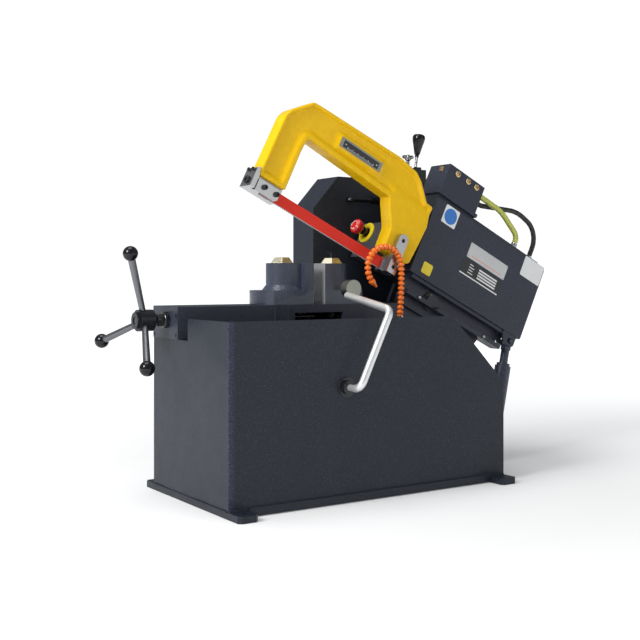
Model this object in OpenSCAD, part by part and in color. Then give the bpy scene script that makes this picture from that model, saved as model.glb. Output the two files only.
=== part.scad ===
// Power hacksaw with a hinged saw bow, in millimetres.
// Origin: on the floor, at the centre of the four anchor holes. +Z is up, the hand wheel points along -X,
// the sawing side faces -Y. The saw head is drawn lying level, and is then raised about its pivot.

/* [Base] */
// Length of the cabinet
base_len = 810; // [700:5:970]
// Depth of the cabinet
base_dep = 390; // [330:5:465]
// Height of the cabinet's walls
base_h = 415; // [350:5:495]
// Thickness of the cabinet's steel sheet
sheet_t = 4; // [3:0.5:5]
// Length of the sloped cut at the motor end
slope_run = 173; // [145:1:205]
// Drop of the sloped cut
slope_drop = 175; // [146:1:210]
// Thickness of the foot bars
foot_t = 16; // [13:1:20]
// Width of the foot bars
foot_w = 50; // [42:1:60]
// How far the foot bars reach past the walls
foot_reach = 50; // [42:1:60]
// Diameter of the anchor holes
anchor_d = 14; // [11:1:17]

/* [Vise] */
// Width of the vise bed
bed_w = 139; // [125:1:165]
// Height of the vise bed
bed_h = 78; // [70:1:92]
// Height of the bed's top above the cabinet's wall
bed_rise = 27; // [24:1:32]
// Thickness of the bed's side walls
bed_wall = 12; // [10:1:14]
// Thickness of the bed's top plate
bed_top_t = 14; // [12:1:16]
// Distance of the screw's axis behind the bed's front
vise_in = 60; // [54:1:70]
// Gap between the jaws at rest
jaw_gap = 34; // [28:1:40]
// Height of the jaws above the bed
jaw_h = 106; // [90:1:118]
// Thickness of the jaw plates
jaw_t = 27; // [23:1:32]
// Diameter of the round boss on each jaw
boss_d = 83; // [70:1:98]
// Distance of the boss's centre behind the clamping face
boss_back = 60; // [52:1:70]
// Radius of the rounded flange under each boss
flange_r = 84; // [72:1:96]
// Thickness of that flange
flange_t = 36; // [30:1:43]
// Diameter of the clamping bolts
bolt_d = 24; // [20:1:25]
// Diameter of the vise screw
screw_d = 24; // [20:1:26]
// Length of a spoke from the screw's axis to its knob
spoke_len = 168; // [140:1:200]
// Diameter of the black knobs
knob_d = 36; // [30:1:43]

/* [Saw head] */
// How far the head is raised at rest, in degrees
tilt = 26.2; // [22:0.1:31]
// Distance of the pivot from the motor end of the cabinet
pivot_in = 57; // [50:1:68]
// Height of the pivot above the cabinet's wall
pivot_rise = 28; // [26:1:33]
// Diameter of the pivot shaft
pivot_d = 30; // [25:1:35]
// Distance from the fixed jaw's face to the pivot
jaw_to_pivot = 337; // [337:1:400]
// Distance between the blade's two pin holes
blade_holes = 400; // [334:1:480]
// Height of the blade
blade_w = 32; // [27:1:38]
// Thickness of the blade
blade_t = 1.6; // [1.3:0.1:2]
// Distance from the pivot to the blade's rear pin
rear_pin = 209; // [200:1:250]
// Stroke of the bow
stroke = 120; // [100:1:140]
// Thickness of the bow's casting
bow_t = 45; // [38:1:54]
// Depth of the drive housing
box_dep = 165; // [150:1:190]
// Diameter of the motor
motor_d = 112; // [94:1:134]
// Length of the ram's guide
guide_len = 116; // [100:1:139]

/* [Stop, hose and lever] */
// Diameter of the length stop's rod
stop_d = 16; // [13:0.5:19]
// Diameter of the stop's round pad
pad_d = 45; // [38:1:54]
// Outer diameter of the coolant hose's links
link_d = 17; // [15:0.5:19]
// Distance between the ball joints of the coolant hose
link_pitch = 12.5; // [12:0.1:13.5]
// Diameter of the lift cylinder's barrel
barrel_d = 46; // [40:1:54]
// Diameter of the lift cylinder's rod
rod_d = 24; // [20:1:28]
// Length of the hand lever of the feed valve
lever_len = 84; // [70:1:100]

/* [Hidden] */
$fn = 48;

// Clearances: a shaft in its hole (radius), a sliding piece, and two pieces that pass each other
fit = 0.05;
slide_gap = 0.3;
pass_gap = 5;

// Places of the base
x0 = -base_len / 2;
x1 = base_len / 2;
y0 = -base_dep / 2;
y1 = base_dep / 2;
wall_top = foot_t + base_h;
slope_x = x1 - slope_run;
slope_z = wall_top - slope_drop;
anchor_x = x1 + foot_w / 2 - 55;
anchor_y = y1 + foot_reach / 2;

// Places of the vise
bed_top = wall_top + bed_rise;
bed_bottom = bed_top - bed_h;
bed_y1 = y1 - sheet_t;
bed_y0 = bed_y1 - bed_w;
vise_y = bed_y0 + vise_in;
screw_z = bed_top - bed_top_t - 19;
end_plate_t = 21;
end_over = 3;
end_x = x0 - end_over;
jaw_top = bed_top + jaw_h;
slot_w = 26;
neck_w = slot_w - 2 * slide_gap;
nut_w = 46;
nut_len = 44;
cap_h = 15;

// Places of the saw head; its own frame has the pivot at the origin and the blade along its X
pivot_x = x1 - pivot_in;
pivot_z = wall_top + pivot_rise;
fixed_face = pivot_x - jaw_to_pivot;
moving_face = fixed_face - jaw_gap;
blade_y = bed_y0 - 44;
teeth_z = -5.5;
rear_x = -rear_pin;
front_x = rear_x - blade_holes;
blade_over = 15;
pin_z = teeth_z + blade_w / 2;
blade_pin = 8.3;
bow_y0 = blade_y - 10;
bow_y1 = bow_y0 + bow_t;

// Crank drive inside the housing, from the bow backwards
wall = 4;
box_x0 = rear_x + 89;
ram_z = 165;
ram_h = 70;
ram_t = 38;
ram_y0 = bow_y1;
ram_y1 = ram_y0 + ram_t;
guide_x0 = box_x0 + wall;
guide_x1 = guide_x0 + guide_len;
pin_d = 20;
// A slot this wide lets the crank pin run through half a turn while the ram moves at a steady rate
pin_play = stroke * 0.107;
yoke_slot = pin_d + 2 * pin_play;
yoke_w = yoke_slot + 24;
yoke_h = stroke + pin_d + 28;
crank_x = guide_x1 + 15 + yoke_w / 2 + stroke / 2;
disc_d = stroke + 30;
motor_x = crank_x + stroke / 2 + yoke_w / 2 + 5 + motor_d / 2;
box_x1 = motor_x + motor_d / 2 + 10;
box_z0 = 38;
box_z1 = ram_z + yoke_h / 2 + 13;
box_y0 = blade_y + 2;
cover_t = 4;
box_y1 = box_y0 + box_dep;
yoke_y0 = ram_y0 + 6;
yoke_t = 26;
disc_y0 = yoke_y0 + yoke_t + 12;
disc_t = 15;
part_y = disc_y0 + disc_t + 3;
pulley_y0 = part_y + 22;
pulley_w = 14;
crank_d = 30;
pulley_d = 150;
small_pulley_d = 50;
motor_z = box_z0 + wall + motor_d / 2 + 10;
motor_len = part_y - box_y0 - cover_t - 3;
bore_y1 = box_y1 - wall;

// Arm
arm_y0 = box_y0;
web_y0 = box_y0 + 28;
web_t = 10;
arm_x0 = box_x0 + 17;
arm_x1 = box_x1 - 62;
hub_d = 52;
bush_t = 5;

// Top of the head
cover_h = 14;
res_x0 = box_x0;
res_len = 140;
res_h = 92;
res_z0 = box_z1 + cover_h;

// Control box on the housing's front end
ctrl_len = 74;
ctrl_x0 = box_x0 - ctrl_len;
ctrl_y0 = ram_y1 + 7;
ctrl_y1 = box_y1 + 22;
ctrl_z0 = 45;
ctrl_z1 = 150;
stop_y = ctrl_y1 - 33;
stop_z = 119;
stem_d = 26;

// Lift cylinder
lift_y = box_y0 + 18;
lift_hx = box_x1 - 29.5;
lift_hz = 18.4;
lift_low = [x1 + 165, 76];
lift_top = [pivot_x + lift_hx * cos(tilt) + lift_hz * sin(tilt), pivot_z - lift_hx * sin(tilt) + lift_hz * cos(tilt)];
lift_len = norm(lift_top - lift_low);
lift_angle = atan2(lift_top[0] - lift_low[0], lift_top[1] - lift_low[1]);
lift_pin_d = 12;
lift_slot = 7.6;
barrel_len = 200;
barrel_z = 32;
eye_w = 26;

// Rear cabinet
rear_gap = 30;
rail_t = 10;
rear_y0 = max(y1 + rail_t, box_y1 + rear_gap);
rear_dep = 105;
rear_skin = 3;
rear_x0 = pivot_x - 274;
rear_x1 = pivot_x + 147;
rear_z0 = wall_top - 111;
rear_z1 = wall_top + 378;
chamfer_x = 82;
chamfer_z = 91;
valve_x = pivot_x + 117;
valve_y = rear_y0 + 45;
valve_top = rear_z1 + 38;
lever_z = rear_z1 + 26;
knob_x = pivot_x + 91;

// Length stop
stop_x = fixed_face - 103;
stop_axis_z = wall_top - 160;
stop_route = [
    [stop_x, -20, stop_axis_z], [stop_x, -250, stop_axis_z],
    [stop_x + 88, -250, stop_axis_z + 181], [stop_x + 80, -82, stop_axis_z + 212]
];
stop_bend = 22;
collar_d = 27;
pad_t = 25;
pad_c = [stop_x + 100, -70, stop_axis_z + 228];

// Coolant hose: the straight tap, then the ball joints along a hanging arch
hose_x = pivot_x - 158;
hose_y = blade_y - 42;
hose_base = wall_top - 4;
hose_n = 26;
ball_r = link_d * 0.33;

// Hoses on the head, in the head's own frame: out of the reservoir's end face, down onto the top cover
hose_start = res_x0 + res_len + 16;
hose_stop = res_z0 + 18;
return_y = box_y0 + 32;
pressure_y = box_y0 + 52;
return_x = res_x0 + 336;
pressure_x = box_x1 - 29;
return_route = [
    [hose_start, return_y, res_z0 + 76], [res_x0 + 248, return_y, res_z0 + 76],
    [return_x, return_y, res_z0 + 40], [return_x, return_y, hose_stop]
];
pressure_route = [
    [hose_start, pressure_y, res_z0 + 62], [res_x0 + 184, pressure_y, res_z0 + 62],
    [res_x0 + 320, pressure_y, res_z0 + 115], [pressure_x, pressure_y, res_z0 + 102],
    [pressure_x, pressure_y, hose_stop]
];

// Turns the head's own frame into the raised head
module head() {
    translate([pivot_x, 0, pivot_z]) rotate([0, tilt, 0]) children();
}

// Draws a 2D outline, given in X and Z, as a plate from y to y + t
module slab(y, t) {
    translate([0, y + t, 0]) rotate([90, 0, 0]) linear_extrude(t) children();
}

// Round bars along X, Y and Z
module xbar(x, y, z, len, d) {
    translate([x, y, z]) rotate([0, 90, 0]) cylinder(d = d, h = len);
}
module ybar(x, y, z, len, d) {
    translate([x, y + len, z]) rotate([90, 0, 0]) cylinder(d = d, h = len);
}
module zbar(x, y, z, len, d) {
    translate([x, y, z]) cylinder(d = d, h = len);
}

// A box between two corners
module block(a, b) {
    translate(a) cube(b - a);
}

function unit(v) = v / norm(v);

// Replaces one corner of an outline or route by an arc of n steps
function fillet(a, b, c, r, n) =
    let(u = unit(a - b), v = unit(c - b), half = acos(u * v) / 2, turn = 180 - 2 * half,
        m = b + unit(u + v) * r / sin(half), s = b + u * r / tan(half) - m, e = b + v * r / tan(half) - m)
    [for (i = [0:n]) m + (s * sin(turn * (1 - i / n)) + e * sin(turn * i / n)) / sin(turn)];

// Rounds every corner of an outline, each by its own radius
function rounded(p, r, n = 5) =
    let(k = len(p))
    [for (i = [0:k - 1]) each (r[i] > 0 ? fillet(p[(i + k - 1) % k], p[i], p[(i + 1) % k], r[i], n) : [p[i]])];

// Moves every edge of a clockwise outline inwards by d
function inset(p, d) =
    let(k = len(p))
    [for (i = [0:k - 1])
        let(u = unit(p[i] - p[(i + k - 1) % k]), v = unit(p[(i + 1) % k] - p[i]),
            nu = [u[1], -u[0]], nv = [v[1], -v[0]])
        p[i] + d * (nu + nv) / (1 + nu * nv)];

// A rectangle with round corners, as points
function round_rect(a, b, r, n = 5) =
    rounded([[a[0], a[1]], [a[0], b[1]], [b[0], b[1]], [b[0], a[1]]], [r, r, r, r], n);

// A route with each inner corner bent to its own radius
function bent(route, bends, n = 7) =
    let(last = len(route) - 1)
    [route[0], for (i = [1:last - 1]) each fillet(route[i - 1], route[i], route[i + 1], bends[i - 1], n), route[last]];

// Carries a direction square to the path from one tangent to the next
function carried(t, m, i = 0) =
    i == len(t) ? [] : let(n = unit(m - (m * t[i]) * t[i])) concat([n], carried(t, n, i + 1));

// A round tube swept along points
module sweep(points, d, sides = 12) {
    last = len(points) - 1;
    t = [for (i = [0:last]) unit(points[min(i + 1, last)] - points[max(i - 1, 0)])];
    m = carried(t, cross(t[0], abs(t[0][2]) < 0.9 ? [0, 0, 1] : [1, 0, 0]));
    polyhedron(
        points = [for (i = [0:last], j = [0:sides - 1])
            points[i] + d / 2 * (cos(360 * j / sides) * m[i] + sin(360 * j / sides) * cross(t[i], m[i]))],
        faces = concat(
            [[for (j = [0:sides - 1]) j], [for (j = [sides - 1:-1:0]) last * sides + j]],
            [for (i = [0:last - 1], j = [0:sides - 1])
                [i * sides + j, (i + 1) * sides + j, (i + 1) * sides + (j + 1) % sides]],
            [for (i = [0:last - 1], j = [0:sides - 1])
                [i * sides + j, (i + 1) * sides + (j + 1) % sides, i * sides + (j + 1) % sides]]
        )
    );
}

// Turns +Z onto a direction
module point_z(v) {
    rotate([0, acos(v[2] / norm(v)), atan2(v[1], v[0])]) children();
}

module base_cabinet() {
    outline = [
        [x0, foot_t], [x0, wall_top], [slope_x, wall_top], [x1, slope_z], [x1, foot_t]
    ];
    color("#3a3c45") difference() {
        slab(y0, base_dep) polygon(outline);
        slab(y0 + sheet_t, base_dep - 2 * sheet_t) polygon([
            [x0 + sheet_t, foot_t + sheet_t], [x0 + sheet_t, wall_top + 1], [x1 - sheet_t, wall_top + 1],
            [x1 - sheet_t, foot_t + sheet_t]
        ]);
        // Notch of the left wall for the vise bed
        block([x0 - 1, 5, bed_bottom], [x0 + sheet_t + 1, bed_y1, wall_top + 1]);
        // Hole of the length stop's socket
        ybar(stop_x, y0 - 1, stop_axis_z, sheet_t + 2, collar_d + 10);
    }
}

module foot_frame() {
    color("#2e3038") {
        for (side = [-1, 1]) {
            difference() {
                translate([side * (x1 - foot_w / 2), 0, 0]) slab_z(foot_t, [
                    [-foot_w / 2, y0 - foot_reach + 8], [-foot_w / 2 + 8, y0 - foot_reach],
                    [foot_w / 2 - 8, y0 - foot_reach], [foot_w / 2, y0 - foot_reach + 8],
                    [foot_w / 2, y1 + foot_reach - 8], [foot_w / 2 - 8, y1 + foot_reach],
                    [-foot_w / 2 + 8, y1 + foot_reach], [-foot_w / 2, y1 + foot_reach - 8]
                ]);
                for (end = [-1, 1])
                    zbar(side * anchor_x, end * anchor_y, -1, foot_t + 2, anchor_d);
            }
        }
        // Rails along the bottom edge of the front and back walls
        for (side = [-1, 1])
            translate([0, side * (y1 + 3), 0]) block(
                [x0 + foot_w + slide_gap, -3, 2], [x1 - foot_w - slide_gap, 3, foot_t + 5]
            );
    }
}

module slab_z(t, points) {
    linear_extrude(t) polygon(points);
}

tray_t = 3;
tray_z0 = wall_top - 111;
tray_z1 = slope_z - 11;

module chip_tray() {
    in_x0 = x0 + sheet_t;
    in_x1 = x1 - sheet_t;
    color("#33353d") difference() {
        slab(y0 + sheet_t, base_dep - 2 * sheet_t) polygon([
            [in_x0, tray_z0], [in_x0, tray_z0 + 12], [in_x0 + tray_t, tray_z0 + 12], [in_x0 + tray_t, tray_z0 + tray_t],
            [in_x1 - tray_t, tray_z1 + tray_t], [in_x1 - tray_t, tray_z1 + 10], [in_x1, tray_z1 + 10], [in_x1, tray_z1]
        ]);
        // Passage of the coolant pipe, and the strainer holes
        zbar(hose_x, hose_y, slope_z - 40, 200, 24);
        for (i = [0:5], j = [0:2])
            zbar(x1 - 110 + 16 * i, y0 + 90 + 16 * j, slope_z - 40, 100, 8);
    }
}

beam_x = [x0 + 315, slope_x - 7];
beam_w = 54;
beam_h = 60;

module cross_beams() {
    color("#2e3038") for (x = beam_x) {
        difference() {
            block([x, y0 + sheet_t, bed_bottom - beam_h], [x + beam_w, y1 - sheet_t, bed_bottom]);
            block([x + 5, y0, bed_bottom - beam_h - 1], [x + beam_w - 5, y1, bed_bottom - 5]);
        }
    }
}

pump_top = foot_t + 190;

module coolant_pump() {
    color("#4a4d55") difference() {
        translate([hose_x, hose_y, foot_t + sheet_t]) rotate_extrude() polygon([
            [0, 0], [42, 0], [42, 36], [24, 46], [24, 92], [58, 92], [58, 98], [46, 98], [46, 160], [38, 172],
            [14, 172], [14, pump_top - foot_t - sheet_t], [0, pump_top - foot_t - sheet_t]
        ]);
        zbar(hose_x, hose_y, pump_top - 20, 30, 14);
    }
}

module coolant_pipe() {
    color("silver") {
        // Riser with the tap's round body and its small lever
        translate([hose_x, hose_y, 0]) rotate_extrude() polygon([
            [0, pump_top], [8, pump_top], [8, hose_base - 34], [12, hose_base - 32], [12, hose_base - 8],
            [8, hose_base - 6], [8, hose_base], [0, hose_base]
        ]);
        ybar(hose_x, hose_y - 24, hose_base - 20, 14, 8);
    }
}

// Heading of the hose at each link: it climbs, leans over the blade and dips to the nozzle
function hose_pitch(i) = i < 10 ? 86 + 0.5 * i : 91 + 13.2 * (i - 9);
function hose_step(i) = link_pitch * [cos(hose_pitch(i)), sin(hose_pitch(i))];
function hose_point(i) = i == 0 ? [hose_x, hose_base] : hose_point(i - 1) + hose_step(i - 1);

// One link: a socket that takes the ball of the link before, a waist, and its own ball
module hose_link() {
    socket_r = ball_r + 0.15;
    mouth = -socket_r * 0.42;
    rotate_extrude() polygon(concat(
        [for (a = [-24.8:24.8:74.4]) socket_r * [cos(a), sin(a)]],
        [[1.6, socket_r + 0.4], [1.6, link_pitch + ball_r * 0.95]],
        [for (a = [70:-30:-50]) [ball_r * cos(a), link_pitch + ball_r * sin(a)]],
        [[link_d * 0.22, link_pitch * 0.6], [link_d * 0.4, link_pitch * 0.44], [link_d / 2, link_pitch * 0.3],
         [link_d / 2, link_pitch * 0.1], [link_d * 0.43, mouth]]
    ));
}

module coolant_hose() {
    color("#f08a28") {
        // Threaded foot with the first ball
        translate([hose_x, hose_y, hose_base]) rotate_extrude() polygon(concat(
            [[0, 0], [link_d / 2, 0], [link_d / 2, 2], [link_d * 0.22, 4]],
            [for (a = [-50:30:70]) [ball_r * cos(a), 8 + ball_r * sin(a)]], [[0, 8 + ball_r]]
        ));
        for (i = [0:hose_n - 1]) {
            p = hose_point(i);
            translate([p[0], hose_y, p[1] + 8]) rotate([0, 90 - hose_pitch(i), 0]) hose_link();
        }
        // Nozzle
        tip = hose_point(hose_n);
        translate([tip[0], hose_y, tip[1] + 8]) rotate([0, 90 - hose_pitch(hose_n), 0]) rotate_extrude() polygon(concat(
            [for (a = [-24.8:24.8:74.4]) (ball_r + 0.15) * [cos(a), sin(a)]],
            [[1.6, ball_r + 0.6], [1.6, 22], [3.4, 22], [link_d / 2, 6], [link_d / 2, 1.2], [link_d * 0.43, -ball_r * 0.42]]
        ));
    }
}

module vise_bed() {
    color("#3c3e46") difference() {
        union() {
            block([x0 + end_plate_t - end_over, bed_y0, bed_bottom], [pivot_x - 18, bed_y1, bed_top]);
            // Upright ribs on the front wall
            for (x = [moving_face - 115, moving_face - 77])
                block([x - 3, bed_y0 - 3, bed_bottom], [x + 3, bed_y0, bed_top]);
        }
        // Open underside
        block(
            [x0, bed_y0 + bed_wall, bed_bottom - 1],
            [pivot_x - 18 - bed_wall, bed_y1 - bed_wall, bed_top - bed_top_t]
        );
        // Slot that guides the moving jaw
        block([x0, vise_y - slot_w / 2, bed_bottom], [fixed_face - jaw_t, vise_y + slot_w / 2, bed_top + 1]);
        // Corner cut away for the rear plate of the arm
        block([pivot_x - 62, box_y1 - 3, pivot_z - 50], [pivot_x, bed_y1 + 1, bed_top + 1]);
        // Hole of the fixed jaw's bolt
        zbar(fixed_face + boss_back, vise_y, bed_bottom, bed_h + 1, bolt_d + 2 * fit);
        // Window in the front wall
        block([moving_face - 57, bed_y0 - 4, bed_top - 40], [moving_face + 90, bed_y0 + bed_wall + 1, bed_top - 21]);
    }
}

module bed_end_plate() {
    color("#3c3e46") difference() {
        block([end_x, bed_y0, bed_bottom], [end_x + end_plate_t, bed_y1, bed_top]);
        xbar(end_x - 1, vise_y, screw_z, end_plate_t + 2, screw_d - 4 + 2 * fit);
        // Screws into the bed
        for (dy = [9, bed_w - 9], dz = [10, bed_h - 22])
            xbar(end_x - 1, bed_y0 + dy, bed_bottom + dz, 6, 10);
    }
}

// A jaw with its clamping face at x = 0, its body towards -X
module jaw() {
    difference() {
        union() {
            block([-jaw_t, bed_y0, bed_top], [0, bed_y1, jaw_top]);
            zbar(-boss_back, vise_y, bed_top, jaw_h, boss_d);
            block([-boss_back, vise_y - boss_d / 2, bed_top], [-jaw_t, vise_y + boss_d / 2, jaw_top]);
            // Rounded flange on the bed
            intersection() {
                zbar(-boss_back, vise_y, bed_top, flange_t, 2 * flange_r);
                block([-200, bed_y0, bed_top], [-jaw_t / 2, bed_y1, bed_top + flange_t]);
            }
            // Web that blends the boss into the flange
            translate([-boss_back, vise_y, bed_top + flange_t]) cylinder(d1 = boss_d + 22, d2 = boss_d, h = 14);
        }
        zbar(-boss_back, vise_y, bed_top - 1, jaw_h + 2, bolt_d + 2 * fit);
        block([-1000, bed_y0 - 100, bed_top - 1], [1000, bed_y0, jaw_top + 1]);
        block([0, bed_y0, bed_top - 1], [500, bed_y1, jaw_top + 1]);
    }
}

module fixed_jaw() {
    color("#3b3f4c") translate([fixed_face, 0, 0]) mirror([1, 0, 0]) jaw();
}

module moving_jaw() {
    color("#3b3f4c") translate([moving_face, 0, slide_gap]) jaw();
}

// Clamping bolt with a tapered hexagon head
module jaw_bolt(x, bottom, top) {
    translate([x, vise_y, 0]) {
        zbar(0, 0, bottom, top - bottom, bolt_d);
        difference() {
            translate([0, 0, top]) cylinder(d1 = 66, d2 = 42, h = cap_h, $fn = 6);
            translate([0, 0, top + cap_h - 8]) cylinder(d = 12, h = 9, $fn = 6);
        }
    }
}

module fixed_jaw_bolt() {
    color("#b9ad6c") {
        x = fixed_face + boss_back;
        jaw_bolt(x, bed_top - bed_top_t - 24, jaw_top);
        zbar(x, vise_y, bed_top - bed_top_t - 24, 24, 42);
    }
}

module moving_jaw_bolt() {
    color("#b9ad6c") jaw_bolt(moving_face - boss_back, screw_z + screw_d / 2 + 2, jaw_top + slide_gap);
}

module vise_nut() {
    x = moving_face - boss_back;
    color("#77797c") difference() {
        union() {
            block(
                [x - nut_len / 2, vise_y - nut_w / 2, screw_z - 22],
                [x + nut_len / 2, vise_y + nut_w / 2, bed_top - bed_top_t - slide_gap]
            );
            block([x - nut_len / 2, vise_y - neck_w / 2, screw_z], [x + nut_len / 2, vise_y + neck_w / 2, bed_top]);
        }
        zbar(x, vise_y, screw_z + screw_d / 2 + 2, 60, bolt_d + 2 * fit);
        xbar(x - nut_len, vise_y, screw_z, 2 * nut_len, screw_d + 2 * fit);
    }
}

hub_x = end_x - 58;
hub_d_big = 52;
hub_len = 38;

module vise_screw() {
    color("#8f9194") {
        // Journal through the end plate, and the thread behind it
        xbar(hub_x - 24, vise_y, screw_z, end_x - hub_x + 24, screw_d - 6);
        xbar(end_x - slide_gap, vise_y, screw_z, end_plate_t + 2 * slide_gap, screw_d - 4);
        xbar(
            end_x + end_plate_t + slide_gap, vise_y, screw_z,
            moving_face + jaw_gap - end_x - end_plate_t, screw_d
        );
        // Collars that hold the screw lengthways
        xbar(end_x - slide_gap - 12, vise_y, screw_z, 12, 40);
        xbar(end_x - slide_gap - 30, vise_y, screw_z, 18, 30);
    }
}

spoke_lean = 16.6;
spoke_angles = [100, 220, 340];

module on_spoke(a) {
    translate([hub_x, vise_y, screw_z]) rotate([a, 0, 0]) rotate([0, 0, spoke_lean]) rotate([-90, 0, 0]) children();
}

module hub() {
    color("#26282c") {
        difference() {
            union() {
                xbar(hub_x - hub_len / 2, vise_y, screw_z, hub_len, hub_d_big);
                xbar(hub_x - hub_len / 2 - 7, vise_y, screw_z, 8, hub_d_big - 12);
            }
            xbar(hub_x - hub_len, vise_y, screw_z, 2 * hub_len, screw_d - 6 + 2 * fit);
        }
        for (a = spoke_angles)
            on_spoke(a) translate([0, 0, 20]) cylinder(d1 = 15, d2 = 18, h = spoke_len - 20 - knob_d * 0.42);
    }
}

module ball_knobs() {
    color("#101012") for (a = spoke_angles)
        on_spoke(a) translate([0, 0, spoke_len]) difference() {
            sphere(d = knob_d);
            translate([0, 0, -knob_d]) cylinder(d = knob_d, h = knob_d * 0.58);
        }
}

module stop_socket() {
    color("#2e3038") difference() {
        union() {
            ybar(stop_x, y0 - 3, stop_axis_z, 48, collar_d + 10);
            ybar(stop_x, y0 - 3, stop_axis_z, 3, collar_d + 20);
        }
        ybar(stop_x, y0 - 4, stop_axis_z, 50, collar_d + 2 * fit);
    }
}

module stop_collar() {
    color("#1f2126") difference() {
        union() {
            ybar(stop_x, y0 - 14, stop_axis_z, 56, collar_d);
            ybar(stop_x, y0 - 14, stop_axis_z, 10.7, collar_d + 6);
        }
        ybar(stop_x, y0 - 15, stop_axis_z, 58, stop_d + 2 * fit);
    }
}

module stop_rod() {
    color("#c9cacb") {
        // True round shank in the collar, then the bent part
        shank_y = stop_route[1][1] + stop_bend * 1.4;
        ybar(stop_x, shank_y, stop_axis_z, stop_route[0][1] - shank_y, stop_d);
        sweep(bent([
            [stop_x, shank_y + 2, stop_axis_z], stop_route[1], stop_route[2], stop_route[3]
        ], [stop_bend, stop_bend]), stop_d - 0.04, 20);
    }
}

module stop_pad() {
    color("#a8aaa6") difference() {
        ybar(pad_c[0], pad_c[1] - pad_t / 2, pad_c[2], pad_t, pad_d);
        end = stop_route[3];
        translate(end - 30 * unit(end - stop_route[2])) point_z(end - stop_route[2])
            cylinder(d = stop_d, h = 30);
    }
}

lug_t = 30;
lug_y = [bed_y0 + 4, box_y1 - pass_gap - lug_t];

module pivot_bracket() {
    outline = rounded([
        [pivot_x - 18, bed_bottom + 4], [pivot_x - 18, bed_top - 6], [pivot_x - 16, pivot_z + 30],
        [pivot_x + 16, pivot_z + 30], [pivot_x + 34, pivot_z - 20], [pivot_x + 6, bed_bottom + 4]
    ], [0, 0, 13, 13, 14, 0], 6);
    color("#33353d") difference() {
        union() {
            for (y = lug_y)
                slab(y, lug_t) polygon(outline);
            block([pivot_x - 18, lug_y[0], bed_bottom + 4], [pivot_x - 4, lug_y[1] + lug_t, bed_top - 6]);
        }
        ybar(pivot_x, y0, pivot_z, base_dep, pivot_d + 2 * fit);
    }
}

module pivot_shaft() {
    color("#9a9c9f") {
        ybar(pivot_x, web_y0 - 6, pivot_z, box_y1 + 16 - web_y0 + 6, pivot_d);
        ybar(pivot_x, web_y0 - 12, pivot_z, 4, pivot_d + 8);
        ybar(pivot_x, web_y0 - 9, pivot_z, 4, pivot_d);
    }
}

module cylinder_bracket() {
    low = lift_low;
    color("#2e3038") {
        difference() {
            union() {
                for (y = [lift_y - 22, lift_y + 14])
                    slab(y, 8) polygon(rounded([
                        [x1, foot_t + 20], [x1, foot_t + 110], [x1 + 30, foot_t + 110], [low[0] + 18, low[1] + 18],
                        [low[0] + 18, low[1] - 18], [low[0] - 30, foot_t + 20]
                    ], [0, 0, 12, 14, 14, 10], 5));
                block([x1, lift_y - 40, foot_t + 12], [x1 + 8, lift_y + 40, foot_t + 122]);
            }
            ybar(low[0], lift_y - 30, low[1], 60, lift_pin_d + 2 * fit);
            for (dy = [-31, 31], dz = [24, 110])
                xbar(x1 - 1, lift_y + dy, foot_t + dz, 12, 9);
        }
        // Pin of the lower eye
        ybar(low[0], lift_y - 24, low[1], 48, lift_pin_d);
    }
}

// Draws along the lift cylinder's axis, from its lower pin
module along_lift() {
    translate([lift_low[0], lift_y, lift_low[1]]) rotate([0, lift_angle, 0]) children();
}

module lift_barrel() {
    color("#40434d") difference() {
        union() {
            along_lift() {
                translate([0, 0, barrel_z]) cylinder(d = barrel_d, h = barrel_len - barrel_z);
                translate([0, 0, barrel_len]) cylinder(d = barrel_d - 8, h = 8);
                // Neck down to the eye
                block([-14, 1 - eye_w / 2, 4], [14, eye_w / 2 - 1, barrel_z + 1]);
            }
            ybar(lift_low[0], lift_y - eye_w / 2, lift_low[1], eye_w, 34);
        }
        ybar(lift_low[0], lift_y - 20, lift_low[1], 40, lift_pin_d + 2 * fit);
        along_lift() translate([0, 0, barrel_z + 12]) cylinder(d = rod_d + 2 * fit, h = barrel_len);
    }
}

module lift_rod() {
    color("#5a6070") {
        rod_z = barrel_z + 14;
        along_lift() {
            translate([0, 0, rod_z]) cylinder(d = rod_d, h = lift_len - 24 - rod_z);
            block([-11, -9, lift_len - 26], [11, 9, lift_len]);
        }
        // Eye with its pin, which runs in the slots of the head's lug
        ybar(lift_top[0], lift_y - 10, lift_top[1], 20, 26);
        ybar(lift_top[0], lift_y - 20, lift_top[1], 40, lift_pin_d);
    }
}

module rear_cabinet() {
    outline = [
        [rear_x0, rear_z0], [rear_x0, rear_z1 - chamfer_z], [rear_x0 + chamfer_x, rear_z1],
        [rear_x1, rear_z1], [rear_x1, rear_z0]
    ];
    rear_y1 = rear_y0 + rear_dep;
    color("#3d4048") {
        difference() {
            slab(rear_y0, rear_dep) polygon(outline);
            slab(rear_y0 + rear_skin, rear_dep) polygon(inset(outline, rear_skin));
        }
        // Door in the back, with ventilation louvres
        difference() {
            slab(rear_y1 - rear_skin, rear_skin) polygon(inset(outline, rear_skin + 0.5));
            for (i = [0:6])
                block(
                    [rear_x1 - 150, rear_y1 - 6, rear_z0 + 60 + 14 * i],
                    [rear_x1 - 50, rear_y1 + 1, rear_z0 + 65 + 14 * i]
                );
        }
        // Rails that hang the cabinet on the back wall
        for (x = [rear_x0 + 30, slope_x - 60])
            block([x, y1, rear_z0 + 12], [x + 40, rear_y0, wall_top - 12]);
    }
}

pipe_z = rear_z1 - 64;
pipe_x0 = pivot_x - 160;
pipe_x1 = pivot_x - 40;

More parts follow.
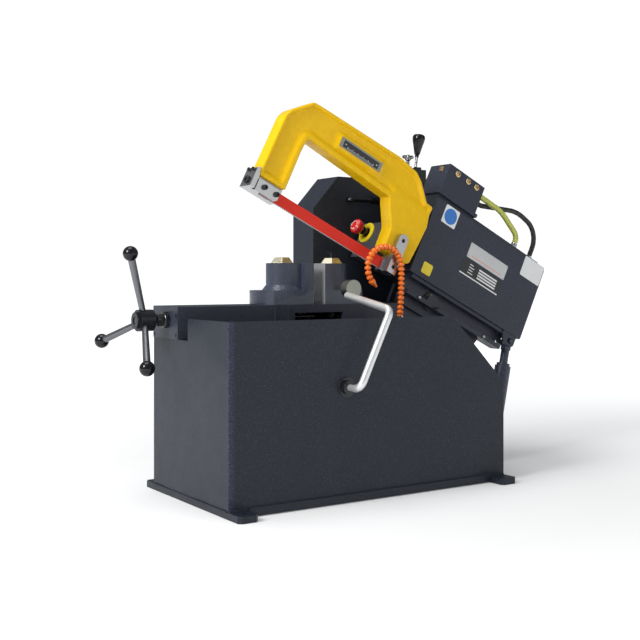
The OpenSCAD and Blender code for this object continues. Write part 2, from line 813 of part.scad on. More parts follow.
module pressure_pipe() {
    color("#1b1c1f") sweep(bent([
        [pipe_x0, rear_y0, pipe_z], [pipe_x0, rear_y0 - 14, pipe_z], [pipe_x1, rear_y0 - 14, pipe_z],
        [pipe_x1, rear_y0, pipe_z]
    ], [8, 8], 5), 12);
    color("silver") for (x = [pipe_x1 - 46, pipe_x1 - 26])
        translate([x, rear_y0 - 14, pipe_z]) rotate([0, 90, 0]) cylinder(d = 19, h = 12, $fn = 6);
}

module valve_block() {
    color("#2b2d33") difference() {
        union() {
            block([knob_x - 22, valve_y - 24, rear_z1], [valve_x + 24, valve_y + 24, valve_top]);
            zbar(knob_x, valve_y, valve_top, 10, 22);
            for (y = [valve_y - 16, valve_y + 9])
                block([valve_x - 12, y, valve_top], [valve_x + 12, y + 7, valve_top + 8]);
        }
        zbar(knob_x, valve_y, valve_top - 12, 40, 10 + 2 * fit);
        // Slot of the hand lever
        block([valve_x - 16, valve_y - 9, lever_z - 12], [valve_x + 16, valve_y + 9, valve_top + 9]);
    }
    // Pin of the hand lever
    color("#2b2d33") ybar(valve_x, valve_y - 12, lever_z, 24, 6);
}

module control_lever() {
    color("silver") translate([valve_x, valve_y, lever_z]) {
        difference() {
            ybar(0, -8.5, 0, 17, 18);
            ybar(0, -9, 0, 18, 6 + 2 * fit);
        }
        rotate([0, 8, 0]) zbar(0, 0, 6, lever_len - 22, 8);
    }
}

module lever_knob() {
    color("#0c0c0d") translate([valve_x, valve_y, lever_z]) rotate([0, 8, 0]) translate([0, 0, lever_len]) difference() {
        rotate_extrude() polygon(concat(
            [[0, -29]], [for (a = [-70:14:84]) [16.5 * cos(a) * (1 + 0.12 * sin(a)), 28 * sin(a)]], [[0, 28]]
        ));
        translate([0, 0, -40]) cylinder(d = 8, h = 24);
    }
}

module feed_knob() {
    color("silver") {
        zbar(knob_x, valve_y, valve_top - 11, 50, 10);
        xbar(knob_x - 19, valve_y, valve_top + 38, 38, 11);
        zbar(knob_x, valve_y, valve_top + 24, 14, 18);
    }
}

module arm_plates() {
    color("#2f323b") head() {
        difference() {
            union() {
                // Web with the bosses of the pivot
                slab(web_y0, web_t) polygon([
                    [arm_x0, -20], [arm_x0, box_z0], [arm_x1, box_z0], [arm_x1, -20],
                    [205, -20], [196, -45], [arm_x0 + 12, -45]
                ]);
                ybar(0, web_y0 - 6, 0, web_t + 6, hub_d);
                // Flange along the bottom, and the one under the housing
                block([arm_x0, arm_y0, -20], [arm_x1, web_y0, -8]);
                block([arm_x0, arm_y0 + 6, box_z0 - 10], [arm_x1, web_y0, box_z0]);
            }
            ybar(0, y0, 0, base_dep, pivot_d + 2 * bush_t);
        }
        difference() {
            slab(box_y1, 12) polygon(rounded([
                [-34, -34], [-34, 70], [150, 70], [150, 40], [30, -34]
            ], [26, 10, 10, 10, 26], 6));
            ybar(0, box_y1 - 1, 0, 20, pivot_d + 2 * bush_t);
        }
        // Cheeks that take the lift cylinder's pin, with play along the arm for its swing
        for (y = [lift_y - 16, lift_y + 10.3])
            slab(y, 5.7) difference() {
                polygon(rounded([
                    [arm_x1 - 6, box_z0], [lift_hx + 15, box_z0], [lift_hx + 15, 3], [lift_hx - 24, 3], [arm_x1 - 6, 29]
                ], [0, 0, 12, 8, 0], 5));
                hull() for (dx = [-lift_slot, 0])
                    translate([lift_hx + dx, lift_hz]) circle(d = lift_pin_d + 2);
            }
    }
}

module bushes() {
    color("#b08d3e") head() {
        difference() {
            union() {
                ybar(0, web_y0 - 6, 0, web_t + 6, pivot_d + 2 * bush_t);
                ybar(0, box_y1, 0, 12, pivot_d + 2 * bush_t);
            }
            ybar(0, web_y0 - 10, 0, base_dep, pivot_d + 2 * fit);
        }
        difference() {
            ybar(crank_x, part_y, ram_z, 18, crank_d + 12);
            ybar(crank_x, part_y - 1, ram_z, 20, crank_d + 2 * fit);
        }
        difference() {
            ybar(crank_x, bore_y1 - 10, ram_z, 10, crank_d + 12);
            ybar(crank_x, bore_y1 - 11, ram_z, 12, crank_d + 2 * fit);
        }
    }
}

module drive_housing() {
    color("#3a3d46") head() {
        difference() {
            block([box_x0, box_y0 + cover_t, box_z0], [box_x1, box_y1, box_z1]);
            block([box_x0 + wall, box_y0, box_z0 + wall], [box_x1 - wall, box_y1 - wall, box_z1 - wall]);
            // Passage of the ram
            block(
                [box_x0 - 1, ram_y0 - 2, ram_z - ram_h / 2 - 2],
                [box_x0 + wall + 1, ram_y1 + 2, ram_z + ram_h / 2 + 2]
            );
        }
        // Inner wall that carries the crankshaft and the motor
        difference() {
            slab(part_y, 8) polygon([
                [guide_x1 + 4, box_z0 + wall], [guide_x1 + 4, box_z1 - wall],
                [box_x1 - wall, box_z1 - wall], [box_x1 - wall, box_z0 + wall]
            ]);
            ybar(crank_x, part_y - 1, ram_z, 20, crank_d + 12);
            ybar(motor_x, part_y - 1, motor_z, 20, 36);
        }
    }
}

module front_cover() {
    color("#3f424c") head() slab(box_y0, cover_t) polygon(
        round_rect([box_x0, box_z0], [box_x1, box_z1], 4)
    );
}

module top_cover() {
    color("#2c2e35") head() translate([0, 0, box_z1]) difference() {
        linear_extrude(cover_h) polygon(rounded([
            [box_x0 + 2, box_y0 + 12], [box_x0 + 2, box_y1 - 6], [box_x1 - 16, box_y1 - 6], [box_x1 - 16, box_y0 + 12]
        ], [2, 2, 12, 12]));
        block([box_x0 + 6, box_y0 + 16, -1], [box_x1 - 20, box_y1 - 10, cover_h - 4]);
    }
}

res_y1 = box_y0 + 85;

module reservoir() {
    color("#363942") head() {
        block([res_x0 - 4, box_y0, res_z0], [res_x0 + res_len + 8, res_y1 + 20, res_z0 + 10]);
        difference() {
            slab(box_y0 + 2, res_y1 - box_y0) polygon([
                [res_x0, res_z0 + 10], [res_x0, res_z0 + res_h], [res_x0 + res_len, res_z0 + res_h],
                [res_x0 + res_len, res_z0 + 10]
            ]);
            // Seats of the plugs
            for (p = plug_places)
                ybar(p, box_y0 + 1, plug_z, 5, plug_d);
            xbar(res_x0 - 1, plug_side_y, plug_z, 5, plug_d);
        }
    }
}

plug_d = 14;
plug_z = res_z0 + res_h - 14;
plug_places = [res_x0 + 36, res_x0 + 78, res_x0 + 112];
plug_side_y = box_y0 + 34;

module brass_plugs() {
    color("#c79a5b") head() {
        for (p = plug_places) {
            ybar(p, box_y0 - 2, plug_z, 8, plug_d);
            ybar(p, box_y0 - 4, plug_z, 3, plug_d - 5);
        }
        xbar(res_x0 - 4, plug_side_y, plug_z, 8, plug_d);
        xbar(res_x0 - 6, plug_side_y, plug_z, 3, plug_d - 5);
    }
}

// A screwed hose end: hexagon and ferrule along +Z
module hose_end(len) {
    cylinder(d = 22, h = 8, $fn = 6);
    cylinder(d = 15, h = len);
}

module hose_fittings() {
    color("silver") head() {
        // Breather and filler on the reservoir
        translate([res_x0 + 34, box_y0 + 50, res_z0 + res_h]) {
            cylinder(d = 26, h = 5);
            cylinder(d = 16, h = 12);
        }
        translate([res_x0 + 100, box_y0 + 54, res_z0 + res_h]) cylinder(d = 18, h = 8);
        // Both ends of both hoses
        for (h = [return_route, pressure_route]) {
            last = len(h) - 1;
            translate([hose_start - 16, h[0][1], h[0][2]]) rotate([0, 90, 0]) hose_end(16);
            translate([h[last][0], h[last][1], res_z0]) hose_end(18);
        }
    }
}

module return_hose() {
    color("#b9c14a") head() sweep(bent(return_route, [120, 28]), 13);
}

module pressure_hose() {
    color("#141416") head() sweep(bent(pressure_route, [60, 120, 62]), 12);
}

module control_box() {
    color("#4b4d52") head() difference() {
        block([ctrl_x0, ctrl_y0, ctrl_z0], [box_x0, ctrl_y1, ctrl_z1]);
        // Bore of the button's stem, deep enough for its travel
        xbar(ctrl_x0 - 1, stop_y, stop_z, 20, stem_d + 2 * fit);
        block([ctrl_x0 + 12, ctrl_y0 + 3, ctrl_z0 + 3], [box_x0 + 1, box_y1 - 3, ctrl_z1 - 3]);
    }
}

module emergency_ring() {
    color("#e6cf2e") head() difference() {
        xbar(ctrl_x0 - 3, stop_y, stop_z, 3, 60);
        xbar(ctrl_x0 - 4, stop_y, stop_z, 5, 30);
    }
}

module emergency_button() {
    color("#d33a35") head() {
        translate([ctrl_x0, stop_y, stop_z]) rotate([0, -90, 0]) rotate_extrude() polygon([
            [0, -4], [stem_d / 2, -4], [stem_d / 2, 24], [15, 27], [20, 36], [20, 43], [17, 48], [0, 50]
        ]);
    }
}

module motor() {
    color("#5b6068") head() difference() {
        union() {
            ybar(motor_x, part_y - motor_len, motor_z, motor_len, motor_d - 12);
            ybar(motor_x, part_y - 6, motor_z, 6, motor_d);
            ybar(motor_x, part_y - motor_len + 4, motor_z, 14, motor_d);
            for (i = [0:17])
                translate([motor_x, 0, motor_z]) rotate([0, 20 * i, 0])
                    block([-1.5, part_y - motor_len + 10, motor_d / 2 - 10], [1.5, part_y - 2, motor_d / 2 - 1]);
        }
        ybar(motor_x, part_y - 40, motor_z, 60, 19 + 2 * fit);
    }
}

module ram_guide() {
    color("#6f7276") head() difference() {
        block(
            [guide_x0, ram_y0 - 16, ram_z - ram_h / 2 - 18],
            [guide_x1, ram_y1 + 14, ram_z + ram_h / 2 + 18]
        );
        block(
            [guide_x0 - 1, ram_y0 - slide_gap, ram_z - ram_h / 2 - slide_gap],
            [guide_x1 + 1, ram_y1 + slide_gap, ram_z + ram_h / 2 + slide_gap]
        );
    }
}

module crankshaft() {
    color("#85888c") head() {
        ybar(crank_x, disc_y0 + disc_t - 1, ram_z, bore_y1 - disc_y0 - disc_t + 1, crank_d);
        ybar(crank_x, disc_y0, ram_z, disc_t, disc_d);
        ybar(crank_x + stroke / 2, yoke_y0 + 2, ram_z, disc_y0 - yoke_y0, pin_d);
    }
}

module grooved_pulley(d, bore) {
    rotate_extrude() polygon([
        [bore / 2, 0], [d / 2, 0], [d / 2, 1.5], [d / 2 - 8, 5], [d / 2 - 8, pulley_w - 5],
        [d / 2, pulley_w - 1.5], [d / 2, pulley_w], [bore / 2, pulley_w]
    ]);
}

module crank_pulley() {
    color("#4d5056") head() translate([crank_x, pulley_y0 + pulley_w, ram_z]) rotate([90, 0, 0])
        grooved_pulley(pulley_d, crank_d + 2 * fit);
}

module motor_pulley() {
    color("#85888c") head() {
        translate([motor_x, pulley_y0 + pulley_w, motor_z]) rotate([90, 0, 0])
            grooved_pulley(small_pulley_d, 19 + 2 * fit);
        ybar(motor_x, part_y - 38, motor_z, pulley_y0 + pulley_w - part_y + 38, 19);
    }
}

// V-belt: two straight runs and an arc round each pulley
module drive_belt() {
    r1 = pulley_d / 2 - 7.5;
    r2 = small_pulley_d / 2 - 7.5;
    c = [motor_x - crank_x, motor_z - ram_z];
    dist = norm(c);
    along = atan2(c[1], c[0]);
    open = acos((r1 - r2) / dist);
    h = 7;
    function belt(k) = concat(
        [for (i = [0:24]) let(a = along + open + (360 - 2 * open) * i / 24) (r1 + k) * [cos(a), sin(a)]],
        [for (i = [0:10]) let(a = along - open + 2 * open * i / 10) c + (r2 + k) * [cos(a), sin(a)]]
    );
    color("#151517") head() translate([crank_x, 0, ram_z]) slab(pulley_y0 + 5.2, pulley_w - 10.4) difference() {
        polygon(belt(h));
        polygon(belt(0.3));
    }
}

// Outline of the bow in the head's X and Z, clockwise from the front leg's foot
bow_outer = [
    [front_x - 39, 37], [front_x - 56, 185], [front_x - 45, 211], [front_x + 23, 277], [front_x + 43, 281],
    [rear_x - 80, 291], [rear_x - 12, 282], [rear_x + 12, 267], [rear_x + 54, 224], [rear_x + 78, 223],
    [rear_x + 76, 198], [rear_x + 83, 164], [rear_x + 78, 110], [rear_x + 70, 42]
];
bow_inner = [
    [rear_x - 24, 49], [rear_x - 25, 108], [rear_x - 58, 163], [rear_x - 65, 178],
    [front_x + 48, 187], [front_x + 37, 146], [front_x + 43, 37]
];
bow_outline = concat(bow_outer, bow_inner);
bow_radii = [6, 20, 20, 18, 12, 16, 30, 14, 6, 6, 12, 30, 24, 16, 10, 30, 16, 8, 18, 24, 6];

module bow_frame() {
    rim = 14;
    web = 6;
    pocket = rounded(inset(bow_outline, rim), [for (r = bow_radii) r > 14 ? 9 : 4], 4);
    color("#e2b51c") head() difference() {
        slab(bow_y0, bow_t) polygon(rounded(bow_outline, bow_radii, 5));
        // Recessed web on both sides, solid where the blade holders and the ram are bolted on
        for (y = [bow_y0 - 1, bow_y1 - web])
            slab(y, web + 1) difference() {
                polygon(pocket);
                polygon([[front_x - 80, 0], [front_x - 80, 92], [front_x + 80, 92], [front_x + 80, 0]]);
                polygon([[rear_x - 60, 0], [rear_x - 60, 215], [rear_x + 100, 215], [rear_x + 100, 0]]);
                if (y < bow_y0) polygon([
                    [scale_x0 - 9, 190], [scale_x0 - 9, 250], [scale_x1 + 9, 250], [scale_x1 + 9, 190]
                ]);
            }
        // Round recess beside the rear blade holder
        ybar(rear_x + 13, bow_y0 - 1, 96, 5, 34);
    }
}

scale_x0 = rear_x - 266;
scale_x1 = rear_x - 124;

module scale_plate() {
    color("#9a9a98") head() slab(bow_y0 - 1.5, 1.5) polygon(
        round_rect([scale_x0, 218], [scale_x1, 245], 2, 3)
    );
}

module ram() {
    yoke_x = crank_x + stroke / 2;
    color("#8b8e92") head() difference() {
        union() {
            block([rear_x + 2, ram_y0, ram_z - ram_h / 2], [yoke_x - yoke_w / 2, ram_y1, ram_z + ram_h / 2]);
            slab(yoke_y0, yoke_t) polygon(round_rect(
                [yoke_x - yoke_w / 2, ram_z - yoke_h / 2], [yoke_x + yoke_w / 2, ram_z + yoke_h / 2], 8
            ));
        }
        // Upright slot in which the crank pin runs
        block(
            [yoke_x - yoke_slot / 2, yoke_y0 - 1, ram_z - (stroke + pin_d) / 2 - 2],
            [yoke_x + yoke_slot / 2, yoke_y0 + yoke_t + 1, ram_z + (stroke + pin_d) / 2 + 2]
        );
    }
}

blade_y0 = blade_y - blade_t / 2;
blade_y1 = blade_y + blade_t / 2;

module tension_block() {
    a = front_x - 51;
    color("#a9abab") head() difference() {
        union() {
            block([a, blade_y1 + 0.2, 0], [front_x + 43, bow_y1 + 4, 37]);
            // Upright nose in front of the bow's leg
            slab(bow_y0 - 4, bow_t + 8) polygon([
                [a, 0], [a, 49], [a + 6, 55], [front_x - 42, 55], [front_x - 40, 37], [front_x - 38, 37], [front_x - 38, 0]
            ]);
        }
        // Room for the clamp plate, seats of the screws
        block([front_x - 33, bow_y0 - 5, -3], [front_x + 44, blade_y1 + 0.1, 37.1]);
        block([front_x - 41, blade_y0 - 0.1, -3], [front_x + 44, blade_y1 + 0.3, 37.1]);
        xbar(a - 1, blade_y + 12, 17, 7, 20);
        for (dy = [3, 24])
            xbar(a - 1, blade_y + dy, 46, 5, 9);
    }
    // Pin that pulls the blade
    color("#a9abab") head() ybar(front_x, blade_y0 - 1, pin_z, 3 + blade_t, blade_pin);
}

module clamp_plate() {
    color("#b9bbbb") head() difference() {
        slab(bow_y0, blade_y0 - bow_y0) polygon([
            [front_x - 33, -2], [front_x - 33, 29], [front_x + 28, 29], [front_x + 35, 20], [front_x + 35, 4],
            [front_x + 28, -2]
        ]);
        for (dx = [-11, 26])
            ybar(front_x + dx, bow_y0 - 1, 16, 20, 8 + 2 * fit);
        // Hollow over the blade's pin
        ybar(front_x, blade_y0 - 2, pin_z, 10, blade_pin + 1);
    }
}

module bow_screws() {
    a = front_x - 51;
    color("#1a1b1d") head() {
        // Two screws in the clamp plate that press on the blade
        for (dx = [-11, 26]) {
            ybar(front_x + dx, bow_y0 - 8, 16, 8, 13);
            ybar(front_x + dx, bow_y0 - 0.5, 16, blade_y0 - bow_y0 + 0.5, 8);
        }
        // Tension bolt and two socket screws in the nose
        xbar(a - 6, blade_y + 12, 17, 12, 20);
        for (dy = [3, 24])
            xbar(a - 1, blade_y + dy, 46, 5, 9);
        // Screws of the rear holder
        for (z = [10, 41, 87])
            ybar(rear_x + 13, bow_y0 - 19, z, 8, 11);
    }
}

module rear_holder() {
    color("#b9bbbb") head() difference() {
        union() {
            block([rear_x - 2, bow_y0 - 20, teeth_z - 2.5], [rear_x + 28, bow_y0, 92]);
            ybar(rear_x + 13, bow_y0 - 20, 90, 20, 30);
            // Foot that reaches behind the blade
            block([rear_x - 12, bow_y0, teeth_z - 2.5], [rear_x + 28, blade_y + 9, 38]);
        }
        // Slot of the blade, and the screws' seats
        block([rear_x - 13, blade_y0 - 0.1, teeth_z - 4], [rear_x + 20, blade_y1 + 0.1, teeth_z + blade_w + 1]);
        for (z = [10, 41, 87])
            ybar(rear_x + 13, bow_y0 - 21, z, 10, 11);
        // Slanted inner edge
        slab(bow_y0 - 21, 60) polygon([[rear_x - 13, 20], [rear_x - 13, 60], [rear_x + 3, 60], [rear_x - 2, 38]]);
    }
    // Pin that holds the blade
    color("#b9bbbb") head() ybar(rear_x, blade_y0 - 1, pin_z, 2 + blade_t, blade_pin);
}

module blade() {
    a = front_x - blade_over;
    b = rear_x + blade_over;
    pitch = 6.35;
    n = floor((b - a - 60) / pitch);
    teeth = [for (i = [0:n - 1]) each [
        [a + 30 + pitch * i, teeth_z + 2.4], [a + 30 + pitch * (i + 0.72), teeth_z],
        [a + 30 + pitch * (i + 0.9), teeth_z + 2.4]
    ]];
    color("#d8402c") head() difference() {
        slab(blade_y0, blade_t) polygon(concat(
            [[b, teeth_z], [b, teeth_z + blade_w], [a, teeth_z + blade_w], [a, teeth_z], [a + 28, teeth_z]],
            teeth, [[a + 32 + pitch * n, teeth_z]]
        ));
        for (x = [front_x, rear_x])
            ybar(x, blade_y - 5, pin_z, 10, blade_pin + 2 * fit);
    }
}

base_cabinet();
foot_frame();
chip_tray();
cross_beams();
coolant_pump();
coolant_pipe();
coolant_hose();
vise_bed();
bed_end_plate();
fixed_jaw();
fixed_jaw_bolt();
moving_jaw();
moving_jaw_bolt();
vise_nut();
vise_screw();
hub();
ball_knobs();
stop_socket();
stop_collar();
stop_rod();
stop_pad();
pivot_bracket();
pivot_shaft();
cylinder_bracket();
lift_barrel();
lift_rod();
rear_cabinet();
pressure_pipe();
valve_block();
control_lever();
lever_knob();
feed_knob();
arm_plates();
bushes();
drive_housing();
front_cover();
top_cover();
reservoir();
brass_plugs();
hose_fittings();
return_hose();
pressure_hose();
control_box();
emergency_ring();
emergency_button();
motor();
ram_guide();
crankshaft();
crank_pulley();
motor_pulley();
drive_belt();
bow_frame();
ram();
tension_block();
clamp_plate();
bow_screws();
rear_holder();
blade();
scale_plate();
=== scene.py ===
"""Power hacksaw, dressed for the camera.

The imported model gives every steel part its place. This script adds the paint,
the small hardware and the flexible hoses. Points on the raised head are written
in the head's own frame (u along the arm, y across, n square to the arm). They
turn into the row frame by one rotation about the pivot: x is the pivot's x plus
u times cos(tilt) plus n times sin(tilt), z is the pivot's z minus u times
sin(tilt) plus n times cos(tilt). Outlines are given in millimetres, as on a
drawing, and become metres when a mesh is made.
"""

import math

import bmesh
import bpy
import numpy as np
from mathutils.geometry import delaunay_2d_cdt
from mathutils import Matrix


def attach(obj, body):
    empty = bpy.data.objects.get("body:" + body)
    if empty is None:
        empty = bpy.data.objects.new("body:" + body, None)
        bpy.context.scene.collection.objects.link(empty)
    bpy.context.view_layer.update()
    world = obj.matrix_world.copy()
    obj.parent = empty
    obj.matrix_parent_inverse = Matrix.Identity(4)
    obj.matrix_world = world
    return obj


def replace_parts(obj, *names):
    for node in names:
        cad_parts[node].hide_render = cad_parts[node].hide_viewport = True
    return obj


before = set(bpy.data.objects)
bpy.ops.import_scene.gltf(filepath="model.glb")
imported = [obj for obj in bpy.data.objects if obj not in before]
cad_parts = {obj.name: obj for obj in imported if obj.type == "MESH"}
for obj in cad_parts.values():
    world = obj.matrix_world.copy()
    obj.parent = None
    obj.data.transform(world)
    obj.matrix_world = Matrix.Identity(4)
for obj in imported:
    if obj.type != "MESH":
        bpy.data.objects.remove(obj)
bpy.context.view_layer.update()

# ---- Camera -----------------------------------------------------------------
# Level view from the front left corner, fitted to the cabinet's corners and moved up
# in the picture by a small shift.
camera = bpy.data.objects.new("camera", bpy.data.cameras.new("camera"))
bpy.context.scene.collection.objects.link(camera)
camera.location = (-1.4779, -2.1913, 0.5315)
camera.rotation_euler = (math.radians(90), 0, math.radians(-33.3))
camera.data.lens = 58.44
camera.data.shift_y = -0.069
camera.data.clip_end = 60
bpy.context.scene.camera = camera
bpy.context.scene.view_settings.view_transform = "Standard"

# ---- World and lights -------------------------------------------------------
# A white surround that the camera sees at full strength, that is dimmer as light
# and dimmer still in reflections, as in a studio with black flags. Three soft lamps.
world = bpy.data.worlds.new("surround")
world.use_nodes = True
sky = world.node_tree
dim = sky.nodes["Background"]
dim.inputs["Color"].default_value = (0.96, 0.98, 1, 1)
seen = sky.nodes.new("ShaderNodeBackground")
seen.inputs["Color"].default_value = (1, 1, 1, 1)
seen.inputs["Strength"].default_value = 1.05
ray = sky.nodes.new("ShaderNodeLightPath")
weaker = sky.nodes.new("ShaderNodeMapRange")
weaker.inputs["To Min"].default_value = 0.52
weaker.inputs["To Max"].default_value = 0.24
sky.links.new(ray.outputs["Is Glossy Ray"], weaker.inputs["Value"])
sky.links.new(weaker.outputs[0], dim.inputs["Strength"])
either = sky.nodes.new("ShaderNodeMixShader")
sky.links.new(ray.outputs["Is Camera Ray"], either.inputs[0])
sky.links.new(dim.outputs[0], either.inputs[1])
sky.links.new(seen.outputs[0], either.inputs[2])
sky.links.new(either.outputs[0], sky.nodes["World Output"].inputs["Surface"])
bpy.context.scene.world = world


def lamp(name, place, aim, size, power):
    """A square area lamp at place. It tilts by the angle whose cosine is minus its way's
    height over its length, and turns to the way's angle in plan less a quarter turn."""
    data = bpy.data.lights.new(name, "AREA")
    data.size = size
    data.energy = power
    obj = bpy.data.objects.new(name, data)
    bpy.context.scene.collection.objects.link(obj)
    way = np.array(aim, float) - np.array(place, float)
    obj.location = place
    obj.rotation_euler = (
        math.acos(-way[2] / np.linalg.norm(way)), 0, math.atan2(way[1], way[0]) - math.pi / 2
    )
    return obj


lamp("key_lamp", (-3.2, -0.5, 2.3), (0, 0, 0.4), 1.4, 112)
lamp("top_lamp", (-0.8, 0.2, 4.2), (0, 0, 0.4), 2.4, 62)
lamp("fill_lamp", (1.8, -3.8, 1.6), (0, 0, 0.4), 2.0, 9)

# ---- Cabinet, feet and tray -------------------------------------------------
# Folded and welded sheet steel in dark structure paint, full of fine bright specks.
# The violet rough speckle along the front left corner is a painted highlight. Every
# outer edge of the imported nodes gets a small radius, so that it catches the light.
def tools(mat):
    """The main shader of a node material, and functions that add a node and feed a socket."""
    tree = mat.node_tree

    def feed(node, key, value):
        socket = node.inputs[int(key[1:]) if key[1:].isdigit() else key.replace("_", " ")]
        if isinstance(value, bpy.types.NodeSocket):
            tree.links.new(value, socket)
        else:
            socket.default_value = value

    def put(kind, props=None, **inputs):
        node = tree.nodes.new("ShaderNode" + kind)
        for key, value in (props or {}).items():
            setattr(node, key, value)
        for key, value in inputs.items():
            feed(node, key, value)
        return node

    return tree.nodes["Principled BSDF"], put, feed


def shader(name):
    """A new node material with its tools."""
    mat = bpy.data.materials.new(name)
    mat.use_nodes = True
    return mat, *tools(mat)


def rgba(c, gain=1.0):
    """A colour times a gain, at most 1, and opaque."""
    return (*[min(1.0, v * gain) for v in c], 1)


def spread(put, source, low, high):
    """Stretches a 0 to 1 signal onto low to high."""
    return put("MapRange", None, Value=source, To_Min=low, To_Max=high).outputs[0]


def contrast(put, source, low, high):
    """0 below low, 1 above high."""
    return put("MapRange", None, Value=source, From_Min=low, From_Max=high).outputs[0]


def two_tone(put, amount, a, b):
    """Colour a at 0 and b at 1."""
    return put("Mix", {"data_type": "RGBA"}, _0=amount, _6=a, _7=b).outputs[2]


def noise(put, where, scale, detail=2.0, rough=0.5):
    """A 0 to 1 cloud of that many cells in a metre."""
    return put("TexNoise", None, Vector=where, Scale=scale, Detail=detail, Roughness=rough).outputs["Fac"]


def along(put, where, way, low, high):
    """0 to 1 between two places along a direction, in metres."""
    dot = put("VectorMath", {"operation": "DOT_PRODUCT"}, _0=where, _1=way).outputs["Value"]
    return contrast(put, dot, low, high)


def paint(
    name, dark, light, grain, height, rough,
    coat=0.0, wide=(0.85, 1.12), dots=(0.40, 0.72), gloss=0.33,
):
    """Paint with a fine speckle, a slow change of tone, grain in relief and uneven gloss."""
    mat, bsdf, put, feed = shader(name)
    where = put("TexCoord").outputs["Object"]
    fine = noise(put, where, grain, 3.0, 0.6)
    speck = contrast(put, fine, *dots)
    tone = two_tone(put, speck, rgba(dark), rgba(light))
    slow = spread(put, noise(put, where, 5.0, 3.0), *wide)
    feed(bsdf, "Base_Color", put("HueSaturation", None, Value=slow, Color=tone).outputs[0])
    feed(bsdf, "Roughness", spread(put, noise(put, where, 22.0, 4.0), rough - 0.07, rough + 0.07))
    feed(bsdf, "Coat_Weight", coat)
    feed(bsdf, "Specular_IOR_Level", gloss)
    feed(bsdf, "Normal", put("Bump", None, Distance=height, Height=fine).outputs[0])
    return mat


STRUCTURE = paint(
    "structure_paint", (0.0115, 0.0155, 0.0250), (0.082, 0.092, 0.125), 520.0, 0.00022, 0.42,
    wide=(0.86, 1.12), dots=(0.58, 0.78),
)
CABINET = STRUCTURE.copy()
CABINET.name = "cabinet_paint"
cabinet, put, feed = tools(CABINET)
where = put("TexCoord").outputs["Object"]
# The front left corner of the cabinet is at x -0.405, y -0.195.
near_corner = along(put, where, (1, 0, 0), -0.386, -0.4046)
on_front = along(put, where, (0, 1, 0), -0.1930, -0.1945)
# Violet speckle on the front left corner: painted highlight where the corner edge catches the light.
corner_highlight_speckle = contrast(put, noise(put, where, 700.0, 2.0, 0.7), 0.50, 0.62)
edge = put("Math", {"operation": "MULTIPLY"}, _0=near_corner, _1=on_front).outputs[0]
amount = put("Math", {"operation": "MULTIPLY"}, _0=edge, _1=corner_highlight_speckle).outputs[0]
paint_below = cabinet.inputs["Base Color"].links[0].from_socket
feed(cabinet, "Base_Color", two_tone(put, amount, paint_below, (0.105, 0.090, 0.22, 1)))

# Joins the node's split corners and shades it smooth, except where faces meet at
# more than 28 degrees.
smooth = bpy.data.node_groups.new("smooth_below_angle", "GeometryNodeTree")
smooth.interface.new_socket("Geometry", in_out="INPUT", socket_type="NodeSocketGeometry")
smooth.interface.new_socket("Geometry", in_out="OUTPUT", socket_type="NodeSocketGeometry")
entry = smooth.nodes.new("NodeGroupInput")
leave = smooth.nodes.new("NodeGroupOutput")
weld = smooth.nodes.new("GeometryNodeMergeByDistance")
weld.inputs["Distance"].default_value = 0.00001
plain = smooth.nodes.new("GeometryNodeRemoveAttribute")
plain.inputs["Name"].default_value = "custom_normal"
faces_smooth = smooth.nodes.new("GeometryNodeSetShadeSmooth")
edges_sharp = smooth.nodes.new("GeometryNodeSetShadeSmooth")
edges_sharp.domain = "EDGE"
edges_sharp.inputs["Shade Smooth"].default_value = False
angle = smooth.nodes.new("GeometryNodeInputMeshEdgeAngle")
steep = smooth.nodes.new("FunctionNodeCompare")
steep.operation = "GREATER_THAN"
steep.inputs[1].default_value = math.radians(28)
smooth.links.new(angle.outputs["Unsigned Angle"], steep.inputs[0])
smooth.links.new(entry.outputs[0], weld.inputs["Geometry"])
smooth.links.new(weld.outputs[0], plain.inputs["Geometry"])
smooth.links.new(plain.outputs[0], faces_smooth.inputs["Geometry"])
smooth.links.new(faces_smooth.outputs[0], edges_sharp.inputs["Geometry"])
smooth.links.new(steep.outputs[0], edges_sharp.inputs["Selection"])
smooth.links.new(edges_sharp.outputs[0], leave.inputs[0])


def dress(nodes, mat, radius=0.0):
    """Gives CAD nodes their finish, smooth shading and outer edges of that radius."""
    for node in nodes.split():
        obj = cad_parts[node]
        for i in range(len(obj.data.materials)):
            obj.data.materials[i] = mat
        obj.modifiers.new("smooth", "NODES").node_group = smooth
        if not radius:
            continue
        flat = obj.modifiers.new("planes", "DECIMATE")
        flat.decimate_type = "DISSOLVE"
        flat.angle_limit = math.radians(0.4)
        edge = obj.modifiers.new("edges", "BEVEL")
        edge.width = radius
        edge.segments = 2
        edge.limit_method = "ANGLE"
        edge.angle_limit = math.radians(40)
        edge.use_clamp_overlap = True
        edge.harden_normals = True


dress("base_cabinet", CABINET, 0.0008)
dress("foot_frame chip_tray cross_beams rear_cabinet", STRUCTURE, 0.0008)

# ---- Castings, arm and housings ---------------------------------------------
# The vise bed and brackets are cast, the arm is welded, the drive housing is bent
# sheet, all in smooth dark paint. The control box is greyer, motor and coolant pump
# are light grey, and the lift cylinder is bluish and a little glossy.
SMOOTH = paint("housing_paint", (0.019, 0.023, 0.036), (0.048, 0.054, 0.078), 420.0, 0.00015, 0.38)
dress("vise_bed bed_end_plate pivot_bracket cylinder_bracket arm_plates", SMOOTH, 0.0010)
dress("drive_housing front_cover top_cover reservoir", SMOOTH, 0.0008)
dress("pivot_shaft", SMOOTH)
BOX = paint("control_box_paint", (0.045, 0.047, 0.052), (0.085, 0.088, 0.094), 420.0, 0.0002, 0.40)
dress("control_box", BOX, 0.0010)
GREY = paint("pump_paint", (0.10, 0.11, 0.125), (0.15, 0.16, 0.18), 160.0, 0.0001, 0.45)
dress("coolant_pump motor", GREY)
LIFT = paint("cylinder_paint", (0.025, 0.03, 0.05), (0.05, 0.058, 0.09), 140.0, 0.0001, 0.35, 0.2)
dress("lift_barrel lift_rod", LIFT)
